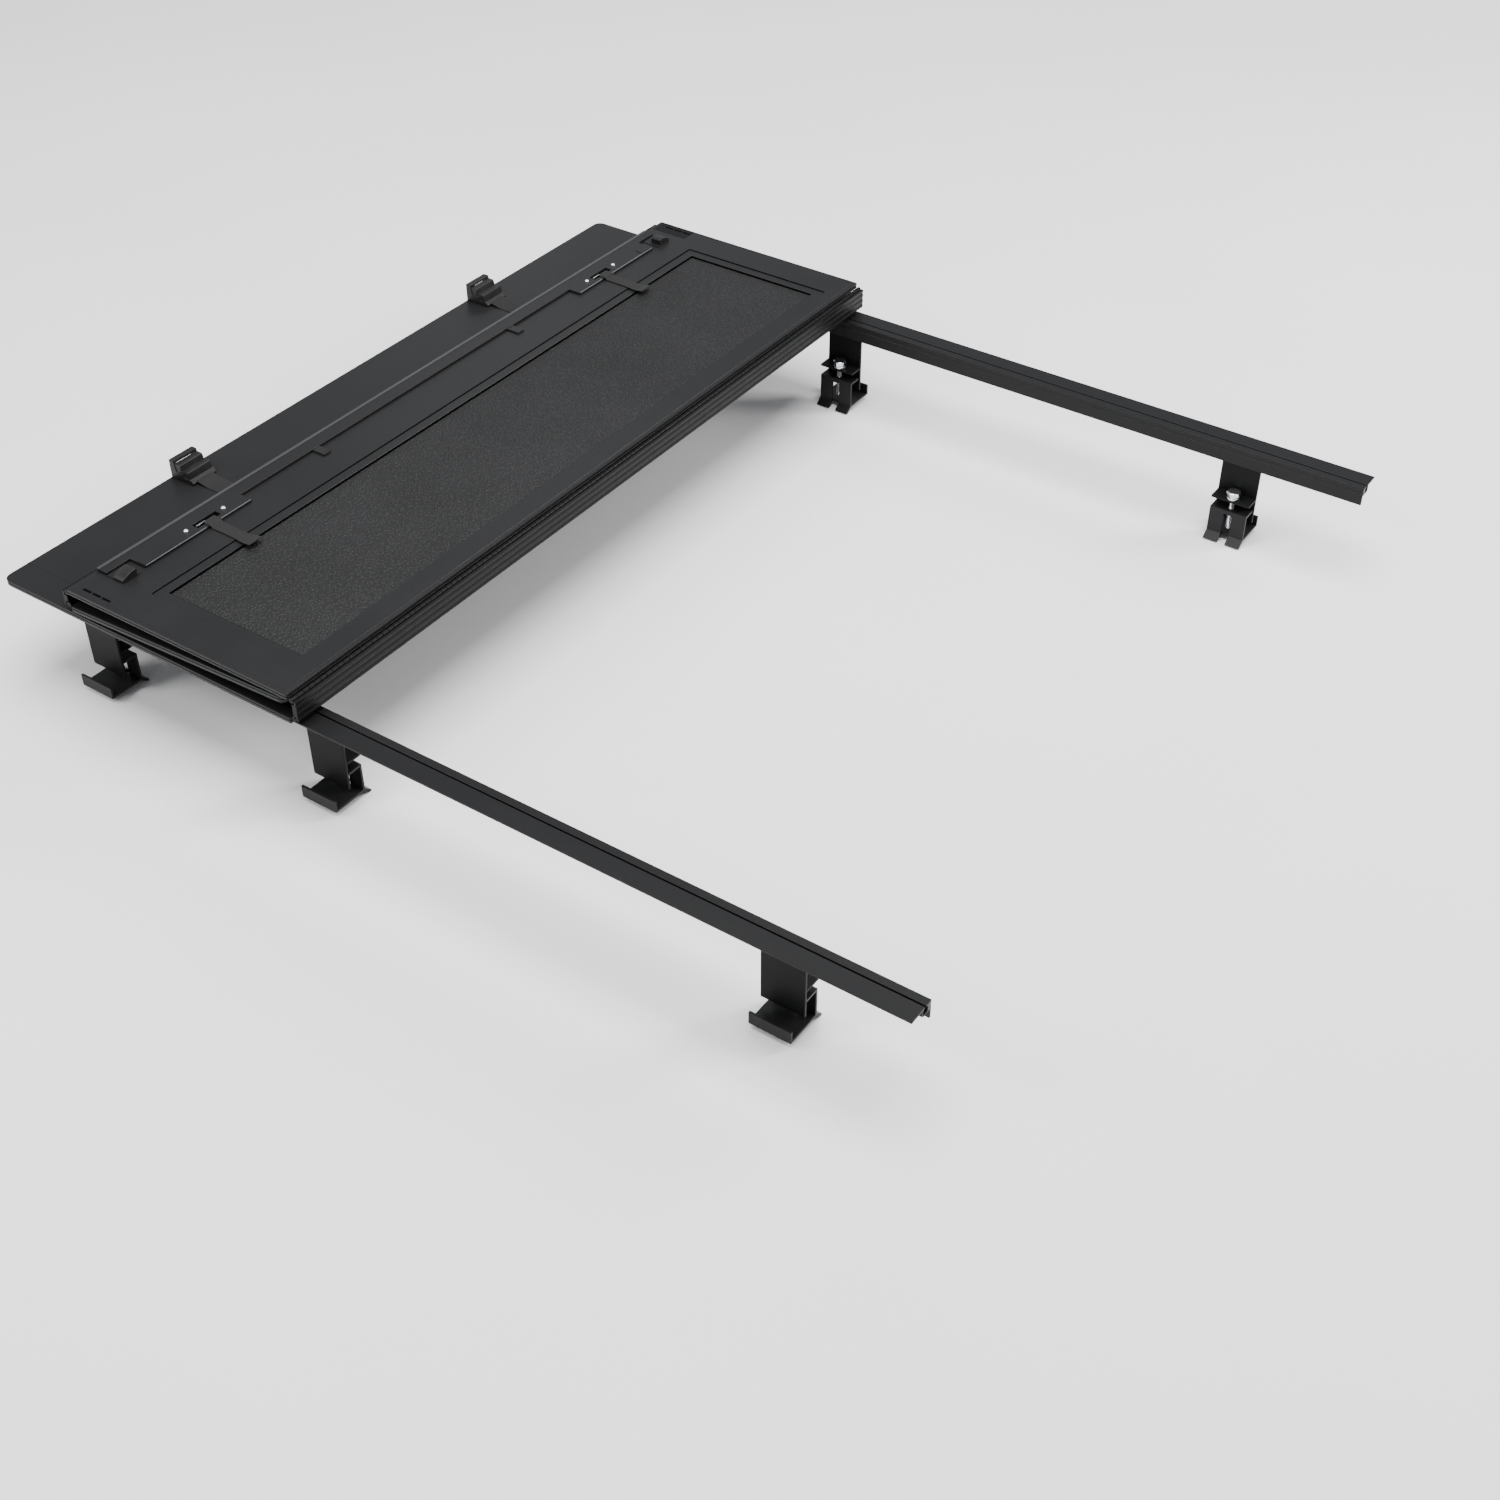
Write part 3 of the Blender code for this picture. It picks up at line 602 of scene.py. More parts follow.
def rounded(outline, radius, steps=3):
    """Each corner of a closed outline gives way to a curve tangent to both of its edges.

    The curve is the quadratic from `radius` before the corner to `radius` after it, pulled
    toward the corner; a short edge shortens it.
    """
    corner = np.array(outline, float)
    to_last = np.roll(corner, 1, axis=0) - corner
    to_next = np.roll(corner, -1, axis=0) - corner
    last_length = np.linalg.norm(to_last, axis=1, keepdims=True)
    next_length = np.linalg.norm(to_next, axis=1, keepdims=True)
    start = corner + to_last / last_length * np.minimum(radius, 0.45 * last_length)
    end = corner + to_next / next_length * np.minimum(radius, 0.45 * next_length)
    t = np.linspace(0.0, 1.0, steps + 1)[None, :, None]
    curve = (1 - t) ** 2 * start[:, None] + 2 * t * (1 - t) * corner[:, None] + t**2 * end[:, None]
    return curve.reshape(-1, 2)


def bar_along_x(name, outline, start, end, edge):
    """An outline of (y, z) carried along x, with its ends drawn in by the edge radius."""
    section = np.array(outline, float)
    middle = section.mean(axis=0)
    span = np.ptp(section, axis=0)
    shrink = 1 - edge / np.maximum(span, 4 * edge)
    stations = [(start, shrink), (start + edge, 1.0), (end - edge, 1.0), (end, shrink)]
    rings = []
    for x, scale in stations:
        ring = middle + (section - middle) * scale
        rings.append(np.column_stack([np.full(len(ring), x), ring]))
    return capped_tube(name, np.array(rings))


def finished_copy(node, finish_name, edge, segments=2):
    """A merged copy of a CAD node with rounded edges, which stands for the node."""
    source = frame["nodes"][node]
    shape = bmesh.new()
    shape.from_mesh(source.data)
    bmesh.ops.remove_doubles(shape, verts=shape.verts, dist=0.00001)
    bmesh.ops.dissolve_limit(
        shape, angle_limit=math.radians(0.5), verts=shape.verts, edges=shape.edges
    )
    name = f"{node}_finished"
    mesh = bpy.data.meshes.new(name)
    shape.to_mesh(mesh)
    shape.free()
    obj = make_piece(name, mesh, finish_name, BODY_OF[node], (node,), flat_faces=False)
    if edge:
        modifier = obj.modifiers.new("rounded edges", "BEVEL")
        modifier.width = edge
        modifier.segments = segments
        modifier.limit_method = "ANGLE"
        modifier.angle_limit = math.radians(35)
    keep_flats_flat(obj)


# ---------------- panels


def panel_axes(prefix):
    """(origin, along, up) of a panel's own axes: v along from its first edge, w from its skin."""
    board_low, board_high = low(f"{prefix}_board"), high(f"{prefix}_board")
    if prefix == "front_panel":
        origin = (0.0, high("front_panel_start_bar")[1], board_high[2])
        return np.array(origin), np.array([0.0, -1.0, 0.0]), np.array([0.0, 0.0, -1.0])
    if prefix == "middle_panel":
        axis = low("front_hinge_pin_upper") + high("front_hinge_pin_upper")
        origin = (0.0, axis[1] / 2, board_low[2])
        return np.array(origin), np.array([0.0, 1.0, 0.0]), np.array([0.0, 0.0, 1.0])
    axis = low("rear_hinge_pin_lower") + high("rear_hinge_pin_lower")
    along = np.array([0.0, -math.cos(REAR_TILT), math.sin(REAR_TILT)])
    up = np.array([0.0, -math.sin(REAR_TILT), -math.cos(REAR_TILT)])
    return np.array([0.0, axis[1] / 2, axis[2] / 2]), along, up


# first: from the origin to the first edge. frames: widths of the first and last bars.
PANELS = {
    "front_panel": {
        "first": 0.0, "length": 0.657, "frames": (0.060, 0.032), "corners": ("round", "square")
    },
    "middle_panel": {
        "first": HINGE_EDGE, "length": 0.487, "frames": (0.032, 0.122),
        "corners": ("square", "square"),
    },
    "rear_panel": {
        "first": HINGE_EDGE, "length": 0.480, "frames": (0.032, 0.122),
        "corners": ("square", "round"),
    },
}


def place_points(prefix, x, v, w):
    """Points of a panel's own x, v and w in the shared frame."""
    origin, along, up = panel_axes(prefix)
    x, v, w = np.broadcast_arrays(x, v, w)
    points = origin + v[..., None] * along + w[..., None] * up
    points[..., 0] += x
    return points


def frame_ring(half, first, last, inset, radius, steps=6):
    """A rectangle with rounded corners, drawn in by `inset` = (sides, first edge, last edge).

    Each corner is a quarter circle of its own radius, walked in `steps` equal angles.
    """
    sides, start, end = inset
    right, bottom, top = half - sides, first + start, last - end
    angle = np.linspace(0.0, math.pi / 2, steps + 1)
    ring = []
    corners = ((right, top), (-right, top), (-right, bottom), (right, bottom))
    for index, (cx, cv) in enumerate(corners):
        r = radius[0] if index < 2 else radius[1]
        centre = np.array([cx - math.copysign(r, cx), cv - r if index < 2 else cv + r])
        turn = angle + index * math.pi / 2
        ring.append(centre + r * np.column_stack([np.cos(turn), np.sin(turn)]))
    return np.concatenate(ring)


def build_panel_frame(prefix):
    """The panel's frame: one profile carried round its four sides, mitred at the corners.

    The profile goes up the outer edge past a pressed groove, over the underside, down a step
    to the ledge, down to the skin and back. Outer points keep their distance from the edge,
    inner ones from the ledge line, so the wide and narrow sides share the same mouldings.
    """
    panel = PANELS[prefix]
    half = high("front_panel_start_bar")[0]
    first = panel["first"]
    last = first + panel["length"]
    wide = (SIDE_FRAME, *panel["frames"])
    top = PANEL_THICK
    outer = [
        (0.0009, 0.0000), (0.0003, 0.0003), (0.0000, 0.0009), (0.0000, 0.0034),
        (0.0004, 0.0038), (0.0014, 0.0040), (0.0014, 0.0052), (0.0004, 0.0054),
        (0.0000, 0.0058), (0.0000, top - 0.0012), (0.0004, top - 0.0004), (0.0012, top),
    ]
    raised_lip = [(0.0062, top), (0.0066, top - 0.0005), (0.0078, top - 0.0005), (0.0082, top)]
    inner = [
        (-0.0008, top), (-0.0002, top - 0.0003), (0.0, top - 0.0008),
        (0.0, top - LEDGE_STEP - 0.0010), (0.0014, top - LEDGE_STEP - 0.0010),
        (0.0014, top - LEDGE_STEP),
        (LEDGE - 0.0030, top - LEDGE_STEP), (LEDGE - 0.0026, top - LEDGE_STEP - 0.0006),
        (LEDGE - 0.0026, BOARD_THICK - 0.0012), (LEDGE, BOARD_THICK - 0.0014), (LEDGE, 0.0),
    ]
    corner_first, corner_last = (CORNER_RADIUS[kind] for kind in panel["corners"])
    rings = []
    for d, w in outer + raised_lip:
        radius = (max(corner_last - d, 0.001), max(corner_first - d, 0.001))
        rings.append((frame_ring(half, first, last, (d, d, d), radius), w))
    for d, w in inner:
        radius = (0.004, 0.004) if d < 0.001 else (0.0006, 0.0006)
        inset = tuple(size + d for size in wide)
        rings.append((frame_ring(half, first, last, inset, radius), w))
    skin = np.array([place_points(prefix, ring[:, 0], ring[:, 1], w) for ring, w in rings])
    mesh = torus_skin(f"{prefix}_frame", skin)
    nodes = [f"{prefix}_{bar}_bar" for bar in ("start", "end", "left", "right")]
    obj = make_piece(f"{prefix}_frame", mesh, "frame_coat", BODY_OF[nodes[0]], nodes, 32.0)
    # Painted shade: the step down to the ledge, the groove at its foot, the inner riser and the channel floor take the
    # near-black gap finish so they read as dark lines.
    obj.data.materials.append(finish("gap_shadow"))
    row = np.arange(len(obj.data.polygons)) // skin.shape[1]
    shaded = np.isin(row - len(outer) - len(raised_lip), (2, 3, 4, 7, 8))
    obj.data.polygons.foreach_set("material_index", shaded.astype(np.int32))
    reach = half - SIDE_FRAME + SKIN_SHEET_LAP
    name = f"{prefix}_skin_sheet"
    sheet = box_skin(
        name, prefix, (-reach, reach), (first + SKIN_SHEET_SETBACK, last - SKIN_SHEET_SETBACK),
        (0.0012, -SKIN_SHEET_PROUD), 0.0002,
    )
    make_piece(name, sheet, "frame_coat", BODY_OF[nodes[0]])


def rear_twin(obj, nodes=()):
    """The rear panel's copy of a middle panel piece.

    It keeps its x, its height over the skin and its distance from the panel's last edge.
    """
    mesh = obj.data.copy()
    points = np.empty(len(mesh.vertices) * 3, np.float32)
    mesh.vertices.foreach_get("co", points)
    x, v, w = (points.reshape(-1, 3) - panel_axes("middle_panel")[0]).T
    shift = PANELS["rear_panel"]["length"] - PANELS["middle_panel"]["length"]
    points = place_points("rear_panel", x, v + shift, w)
    mesh.vertices.foreach_set("co", points.astype(np.float32).ravel())
    mesh.update()
    # Blender adds a number after a dot where a material's name was already taken.
    finish_name = mesh.materials[0].name.partition(".")[0]
    make_piece(
        f"rear_{obj.name}", mesh, finish_name, BODY_OF["rear_panel_latch_cover"], nodes,
        flat_faces=bool(obj.modifiers),
    )


def box_skin(name, prefix, x_range, v_range, w_range, edge):
    """A block with rounded edges in a panel's axes: a rounded plan drawn in at top and bottom."""
    x0, x1 = sorted(x_range)
    v0, v1 = sorted(v_range)
    plan = rounded([(x0, v0), (x1, v0), (x1, v1), (x0, v1)], 2 * edge, 4)
    middle = plan.mean(axis=0)
    size = np.array([x1 - x0, v1 - v0])
    rise = math.copysign(edge, w_range[1] - w_range[0])
    top = w_range[1]
    levels = [(w_range[0], 0.0), (top - rise, 0.0), (top - 0.3 * rise, 0.3 * edge), (top, edge)]
    rings = []
    for w, draw in levels:
        ring = middle + (plan - middle) * (1 - 2 * draw / size)
        rings.append(place_points(prefix, ring[:, 0], ring[:, 1], w))
    return capped_tube(name, np.array(rings))


# ---------------- hinges


def knuckle_barrel(name, centre_y, centre_z, reach, radius, pitch, body):
    """A hinge barrel: a tube along x whose radius dips in a narrow V at every knuckle joint."""
    count = int(round(2 * reach / pitch))
    joint = np.linspace(-reach, reach, count + 1)
    inside = joint[1:-1]
    near = 0.0006
    x = np.sort(np.concatenate([inside - near, inside, inside + near, joint[[0, -1]]]))
    r = np.where(np.isin(x, inside), radius - 0.0011, radius)
    turn = np.linspace(0.0, TURN, 14, endpoint=False)
    y = centre_y + r[:, None] * np.cos(turn)
    z = centre_z + r[:, None] * np.sin(turn)
    rings = np.stack([np.broadcast_to(x[:, None], y.shape), y, z], axis=2)
    make_piece(name, capped_tube(name, rings), "hinge_coat", body, (), 30.0, False)


def strip_section(depth, height, wall, outward):
    """Outline of a hinge strip: channel legs at both ends and three ribs on the outer face."""
    lip = 0.0015
    body = 0.0057
    rib = 0.0009
    half = height / 2
    face = [(depth, -lip)]
    for z in (0.16 * height, half, 0.84 * height):
        face += [(depth, z - 0.0030), (depth - rib, z - 0.0016), (depth - rib, z + 0.0016)]
        face += [(depth, z + 0.0030)]
    face.append((depth, height + lip))
    back = [
        (wall, height + lip), (wall, height - body), (0.0, height - body), (0.0, body),
        (wall, body), (wall, -lip),
    ]
    return [(outward * y, z) for y, z in face + back]


# ---------------- latches and straps


def ribbon(name, path, half_width, centre_x, thick):
    """Webbing: a flat oval section carried along a path of (y, z), with its selvedges rounded.

    The half width and the centre are one number each or one for every point of the path.

    Each section stands square to the path, x = centre + half width * cos t, height off the
    path = half thickness * (1 + sin t), flattened by the fourth root.
    """
    path = np.array(path, float)
    tangent = np.gradient(path, axis=0)
    tangent /= np.linalg.norm(tangent, axis=1, keepdims=True)
    normal = np.column_stack([-tangent[:, 1], tangent[:, 0]])
    normal *= np.where(normal[:, 1:].mean() < 0, -1.0, 1.0)
    turn = np.linspace(0.0, TURN, 20, endpoint=False)
    across = np.sign(np.cos(turn)) * np.abs(np.cos(turn)) ** 0.25
    rise = 0.5 * (1 + np.sign(np.sin(turn)) * np.abs(np.sin(turn)) ** 0.5)
    offset = thick * rise
    y = path[:, 0][:, None] + normal[:, 0][:, None] * offset
    z = path[:, 1][:, None] + normal[:, 1][:, None] * offset
    wide = np.broadcast_to(half_width, len(path))[:, None]
    middle = np.broadcast_to(centre_x, len(path))[:, None]
    x = middle + wide * across
    run = np.concatenate([[0.0], np.cumsum(np.linalg.norm(np.diff(path, axis=0), axis=1))])
    uv = np.stack([x - middle + wide, np.broadcast_to(run[:, None], y.shape)], axis=2)
    return capped_tube(name, np.stack([x, y, z], axis=2), uv)


def cam_skin(name, outer, inward, length, y_range, base, height, edge):
    """A latch cam: a humped profile over x carried along y, with both end faces drawn in.

    The profile starts low at `outer`, swells toward the inner end and stops in a short drop.
    """
    hump = np.array([
        (0.00, 0.00), (0.00, 0.22), (0.05, 0.36), (0.14, 0.52), (0.27, 0.70), (0.42, 0.84),
        (0.58, 0.94), (0.74, 0.99), (0.88, 1.00), (0.96, 0.93), (1.00, 0.80), (1.00, 0.00),
    ])
    x = outer + inward * length * hump[:, 0]
    z = base + height * hump[:, 1]
    middle = np.array([x.mean(), base + 0.4 * height])
    stations = [(y_range[0], 0.90), (y_range[0] + edge, 1.0), (y_range[1] - edge, 1.0)]
    stations.append((y_range[1], 0.90))
    rings = []
    for y, scale in stations:
        ring_x = middle[0] + (x - middle[0]) * scale
        ring_z = np.maximum(base, middle[1] + (z - middle[1]) * scale)
        rings.append(np.column_stack([ring_x, np.full(len(x), y), ring_z]))
    return capped_tube(name, np.array(rings))


def smooth(value):
    """0 below 0, 1 above 1, and an S between them: 3t squared - 2t cubed."""
    t = np.clip(value, 0.0, 1.0)
    return t * t * (3 - 2 * t)


def pull_strap_path(node):
    """A strap that leaves its slot, drops off the cover plate and curls up at its free end.

    Its height over the floor is a smooth step up out of the slot, times a smooth step down past
    the cover's back edge, plus a curl that grows toward the free end.
    """
    plate = high("middle_panel_latch_cover")[2]
    bottom, top = low(node), high(node)
    start, end = top[1], bottom[1]
    back = low("middle_panel_latch_cover")[1]
    y = np.linspace(start - 0.001, end + 0.002, 70)
    floor = low(node)[2] + 0.0002
    climb = (plate - floor + 0.0002) * smooth((start - y) / 0.005)
    fall = 1 - smooth((back - 0.0005 - y) / 0.007)
    curl = 0.0040 * smooth((end + 0.030 - y) / 0.030) ** 1.5
    return np.column_stack([y, floor + climb * fall + curl])


def screw_head(name, x, y, z, radius, body):
    """A pan-head screw: a domed lathe form with a six-lobed socket sunk in its middle.

    Height falls as the square of the distance from the middle; the socket's radius swells and
    shrinks six times a turn.
    """
    turn = np.linspace(0.0, TURN, 48, endpoint=False)
    lobes = 0.40 * radius * (1 + 0.12 * np.cos(6 * turn))
    rim = np.full_like(turn, radius)
    levels = [
        (rim, -0.0002), (rim, 0.0006), (0.94 * rim, 0.0013), (0.75 * rim, 0.0021),
        (1.25 * lobes, 0.0025), (1.02 * lobes, 0.0024), (0.94 * lobes, 0.0010),
    ]
    rings = [
        np.column_stack([x + r * np.cos(turn), y + r * np.sin(turn), np.full_like(turn, z + h)])
        for r, h in levels
    ]
    make_piece(name, capped_tube(name, np.array(rings)), "screw_head", body, (), 35.0)


# ---------------- clamps


def bolt_skin(name, node, pitch):
    """A clamp bolt: a chamfered hexagon over a flange, and a shank with a spiral thread.

    The head's radius is the smaller of the hexagon's and a cone's; the thread's radius falls by
    a triangle wave of height over pitch plus turn, and fades out under the head.
    """
    bottom, top = low(node), high(node)
    centre = (bottom + top) / 2
    turn = np.linspace(0.0, TURN, 72, endpoint=False)
    flats = (top[1] - bottom[1]) / 2
    sector = (turn - math.pi / 2 + math.pi / 6) % (math.pi / 3) - math.pi / 6
    hexagon = 0.90 * flats / np.cos(sector)
    seat = top[2] - BOLT_HEAD_HEIGHT
    cone = [
        (0.62, BOLT_HEAD_HEIGHT), (0.84, 0.0138), (0.97, 0.0130), (1.05, 0.0118), (1.2, 0.0100)
    ]
    rings = [(np.minimum(hexagon, flats * c), seat + h) for c, h in cone]
    rings += [(hexagon, seat + 0.0042), (hexagon * 0.98, seat + 0.0034)]
    flange = np.full_like(turn, flats)
    rings += [(flange * 0.985, seat + 0.0030), (flange, seat + 0.0022), (flange, seat + 0.0002)]
    rings += [(flange * 0.97, seat)]
    for z in np.arange(seat - 0.0001, bottom[2] + 0.0015, -pitch / 5):
        wave = np.abs(((seat - z) / pitch + turn / TURN) % 1.0 * 2 - 1)
        cut = THREAD_DEPTH * min(1.0, (seat - z) / 0.008)
        rings.append((BOLT_SHANK_RADIUS - cut * wave, z))
    rings += [(np.full_like(turn, BOLT_SHANK_RADIUS * 0.72), bottom[2])]
    skin = [
        np.column_stack(
            [centre[0] + r * np.cos(turn), centre[1] + r * np.sin(turn), np.full_like(turn, z)]
        )
        for r, z in rings
    ]
    return capped_tube(name, np.array(skin))


# ---------------- operators


class PieceOperator:
    """Shared run of the operators: build, and stop with an error if it can't finish."""

    bl_options = {"REGISTER", "UNDO"}

    def execute(self, context):
        try:
            self.build(context.scene.cover_sizes)
        except (KeyError, ValueError, RuntimeError) as problem:
            raise RuntimeError(f"{self.bl_label} couldn't finish: {problem}") from problem
        return {"FINISHED"}


class COVER_OT_panels(PieceOperator, bpy.types.Operator):
    """Builds the three panel frames and their grained boards"""

    bl_idname = "cover.panels"
    bl_label = "Panels"

    def build(self, sizes):
        for prefix in PANELS:
            build_panel_frame(prefix)
            finished_copy(f"{prefix}_board", "grained_board", sizes.fine_edge)


class COVER_OT_hinges(PieceOperator, bpy.types.Operator):
    """Builds the hinge strips, their fine knuckles and pins"""

    bl_idname = "cover.hinges"
    bl_label = "Hinges"

    def build(self, sizes):
        for prefix, outward in (("front", -1), ("rear", 1)):
            strip = f"{prefix}_hinge_strip"
            body = BODY_OF[strip]
            pins = [f"{prefix}_hinge_pin_{level}" for level in ("lower", "upper")]
            centres = [(low(pin) + high(pin)) / 2 for pin in pins]
            height = centres[1][2] - centres[0][2]
            reach = high(strip)[0]
            section = strip_section(STRIP_DEPTH, height, STRIP_WALL, outward)
            outline = rounded(section, sizes.edge, 3) + centres[0][1:]
            mesh = bar_along_x(strip + "_channel", outline, -reach, reach, sizes.edge)
            make_piece(strip + "_channel", mesh, "hinge_coat", body, (strip,), 32.0)
            for pin, centre in zip(pins, centres):
                finished_copy(pin, "hinge_coat", 0.0)
                knuckle_barrel(
                    pin.replace("pin", "knuckles"), centre[1], centre[2],
                    reach - 0.0004, BARREL_RADIUS, sizes.knuckle, body,
                )


class COVER_OT_latches(PieceOperator, bpy.types.Operator):
    """Builds the latch covers, tongues, slots, screws, tabs and end caps of two panels"""

    bl_idname = "cover.latches"
    bl_label = "Latches"

    def build(self, sizes):
        for prefix in ("middle_panel", "rear_panel"):
            finished_copy(f"{prefix}_latch_cover", "frame_coat", sizes.plate_edge, segments=3)
        for side, sign in (("left", -1), ("right", 1)):
            finished_copy(f"rear_panel_latch_tongue_{side}", "moulded_black", 0.0010, segments=3)
            self.build_tongue(side, sign)
            self.build_plate_details(sizes, side, sign)
            self.build_side_cap(side, sign)
        plate_low, plate = low("middle_panel_latch_cover"), high("middle_panel_latch_cover")
        origin = panel_axes("middle_panel")[0]
        edge, top = plate[1] - origin[1], plate[2] - origin[2]
        # Painted highlight: a lighter band along the latch cover's cab edge.
        self.add_block(
            "latch_cover_lip", (plate_low[0], plate[0]), (edge - 0.0048, edge + 0.0016),
            (top - 0.0030, top + 0.0010), 0.0008, "lip_coat",
        )
        for obj in list(bpy.context.scene.objects):
            if obj.name.startswith(LATCH_DETAILS):
                rear_twin(obj)

    def add_block(self, name, x_range, v_range, w_range, edge, finish_name):
        """A rounded block on the middle panel, in the panel's own axes."""
        mesh = box_skin(name, "middle_panel", x_range, v_range, w_range, edge)
        make_piece(name, mesh, finish_name, BODY_OF["middle_panel_latch_cover"])

    def build_tongue(self, side, sign):
        """The middle panel's tongue: a thin slide with a cam on its tail edge."""
        node = f"middle_panel_latch_tongue_{side}"
        bottom, top = low(node), high(node)
        origin = panel_axes("middle_panel")[0]
        foot = bottom[2] + TONGUE_PLATE
        name = f"{node}_slide"
        slide = box_skin(
            name, "middle_panel", (bottom[0], top[0]), (bottom[1] - origin[1], top[1] - origin[1]),
            (bottom[2] - origin[2], foot - origin[2]), 0.0005,
        )
        make_piece(name, slide, "frame_coat", BODY_OF[node], (node,))
        outer = top[0] if sign > 0 else bottom[0]
        cam = cam_skin(
            f"{node}_cam", outer, -sign, CAM_LENGTH, (bottom[1], bottom[1] + CAM_WIDTH),
            foot - 0.0004, top[2] - foot + 0.0004, 0.0010,
        )
        make_piece(f"{node}_cam", cam, "moulded_black", BODY_OF[node], (), 35.0)

    def build_plate_details(self, sizes, side, sign):
        """Screws, strap slot with its painted shade and bar, painted glint strips on the back edge, lift tab and
        pressed pad of one end of the latch cover.
        """
        body = BODY_OF["middle_panel_latch_cover"]
        plate = high("middle_panel_latch_cover")
        origin = panel_axes("middle_panel")[0]
        edge, top = plate[1] - origin[1], plate[2] - origin[2]
        back = low("middle_panel_latch_cover")[1] - origin[1]
        under = high("middle_panel_board")[2] + COVER_BASE_ABOVE_BOARD - origin[2]
        node = f"middle_panel_pull_strap_{side}"
        strap_x = (low(node)[0] + high(node)[0]) / 2
        slot_v = back + SLOT_FROM_COVER_BACK
        for label, shift in SCREW_FROM_STRAP.items():
            place = (strap_x + sign * shift, slot_v + SCREW_FROM_SLOT + origin[1], plate[2])
            screw_head(f"cover_screw_{side}_{label}", *place, sizes.screw, body)
        half_x, half_v = SLOT_HALF_SIZE
        # Painted shade: a near-black sheet on the slot's floor makes the slot read dark inside.
        self.add_block(
            f"strap_slot_well_{side}", (strap_x - half_x, strap_x + half_x),
            (slot_v - half_v, slot_v + half_v), (under, under + 0.0006), 0.0002, "gap_shadow",
        )
        self.add_block(
            f"strap_slot_bar_{side}", (strap_x - 0.0235, strap_x - 0.0020),
            (slot_v - 0.0010, slot_v + 0.0016), (under + 0.0008, top - 0.0008), 0.0006,
            "plated_bolt",
        )
        half_strap = (high(node)[0] - low(node)[0]) / 2
        spans = {
            "inner": (COVER_GLINT_ENDS[0], abs(strap_x) - half_strap),
            "outer": (abs(strap_x) + half_strap, COVER_GLINT_ENDS[1]),
        }
        # Painted highlight: thin light strips along the cover's back edge, on each side of the strap, stand for the
        # edge's glint.
        for label, (start, end) in spans.items():
            self.add_block(
                f"latch_cover_edge_{side}_{label}", (sign * start, sign * end),
                (back - 0.0001, back + 0.0009), (top - 0.0012, top + 0.0002), 0.0003, "edge_glint",
            )
        self.add_block(
            f"lift_tab_{side}", [sign * x for x in LIFT_TAB_X],
            [edge + v for v in LIFT_TAB_BEHIND_EDGE], (under + 0.0003, under + 0.0036), 0.0008,
            "moulded_black",
        )
        self.add_block(
            f"pressed_pad_{side}", [sign * x for x in PRESSED_PAD_X],
            [back + v for v in PRESSED_PAD_AHEAD_OF_BACK], (top - 0.0002, top + 0.0011), 0.0005,
            "frame_coat",
        )

    def build_side_cap(self, side, sign):
        """The cap at one end of the latch frame, with three slots along its inner edge drawn as near-black strips of
        painted shade.
        """
        origin = panel_axes("middle_panel")[0]
        edge = high("middle_panel_latch_cover")[1] - origin[1]
        self.add_block(
            f"side_cap_{side}", [sign * x for x in SIDE_CAP_X],
            [edge + v for v in SIDE_CAP_BEHIND_EDGE],
            (PANEL_THICK - 0.0008, PANEL_THICK + 0.00012), 0.0002,
            "clamp_coat" if sign > 0 else "frame_coat",
        )
        for index in range(3):
            start = edge - CAP_SLOT_START - CAP_SLOT_PITCH * index
            # Painted shade: each slot is a thin near-black strip laid on the cap.
            self.add_block(
                f"side_cap_slot_{side}_{index + 1}", [sign * x for x in CAP_SLOT_X],
                (start - CAP_SLOT_LENGTH, start), (PANEL_THICK - 0.0006, PANEL_THICK + 0.00022),
                0.0002, "gap_shadow",
            )


class COVER_OT_straps(PieceOperator, bpy.types.Operator):
    """Builds the pull straps and the storage webbing"""

    bl_idname = "cover.straps"
    bl_label = "Straps"

    def build(self, sizes):
        for side in SIDES:
            node = f"middle_panel_pull_strap_{side}"
            centre = (low(node) + high(node)) / 2
            half = (high(node)[0] - low(node)[0]) / 2
            name = f"pull_strap_{side}_woven"
            path = pull_strap_path(node)
            run = np.linspace(0.0, 1.0, len(path))
            wide = half * (0.80 - 0.10 * np.sin(math.pi * run) + 0.12 * smooth((run - 0.6) / 0.4))
            middle = centre[0] + 0.0025 * (1 - run)
            mesh = ribbon(name, path, wide, middle, STRAP_THICK)
            strap = make_piece(name, mesh, "strap_webbing", BODY_OF[node], (node,), 50.0, False)
            rear_twin(strap, (f"rear_panel_pull_strap_{side}",))
            node = f"storage_webbing_{side}"
            bottom, top = low(node), high(node)
            y = np.linspace(top[1] + 0.004, bottom[1] + 0.001, 40)
            sag = 0.0045 * smooth((y - top[1] + 0.030) / 0.030)
            path = np.column_stack([y, bottom[2] + 0.0001 + sag])
            name = f"storage_webbing_{side}_woven"
            half, middle = (top[0] - bottom[0]) / 2, (top[0] + bottom[0]) / 2
            mesh = ribbon(name, path, half, middle, STRAP_THICK)
            make_piece(name, mesh, "strap_webbing", BODY_OF[node], (node,), 50.0, False)


class COVER_OT_storage(PieceOperator, bpy.types.Operator):
    """Builds the storage buckles and their ribs"""

    bl_idname = "cover.storage"
    bl_label = "Storage buckles"

    def build(self, sizes):
        for side in SIDES:
            node = f"storage_buckle_{side}"
            finished_copy(node, "moulded_black", 0.0012, segments=3)
            bottom, top = low(node), high(node)
            base, cab = bottom[2], top[1]
            for label, shape in BUCKLE_RIBS.items():
                outline = rounded(shape, 0.0016) + (cab, base)
                name = f"{node}_{label}"
                mesh = bar_along_x(name, outline, bottom[0] + 0.0010, top[0] - 0.0010, 0.0012)
                make_piece(name, mesh, "moulded_black", BODY_OF[node])


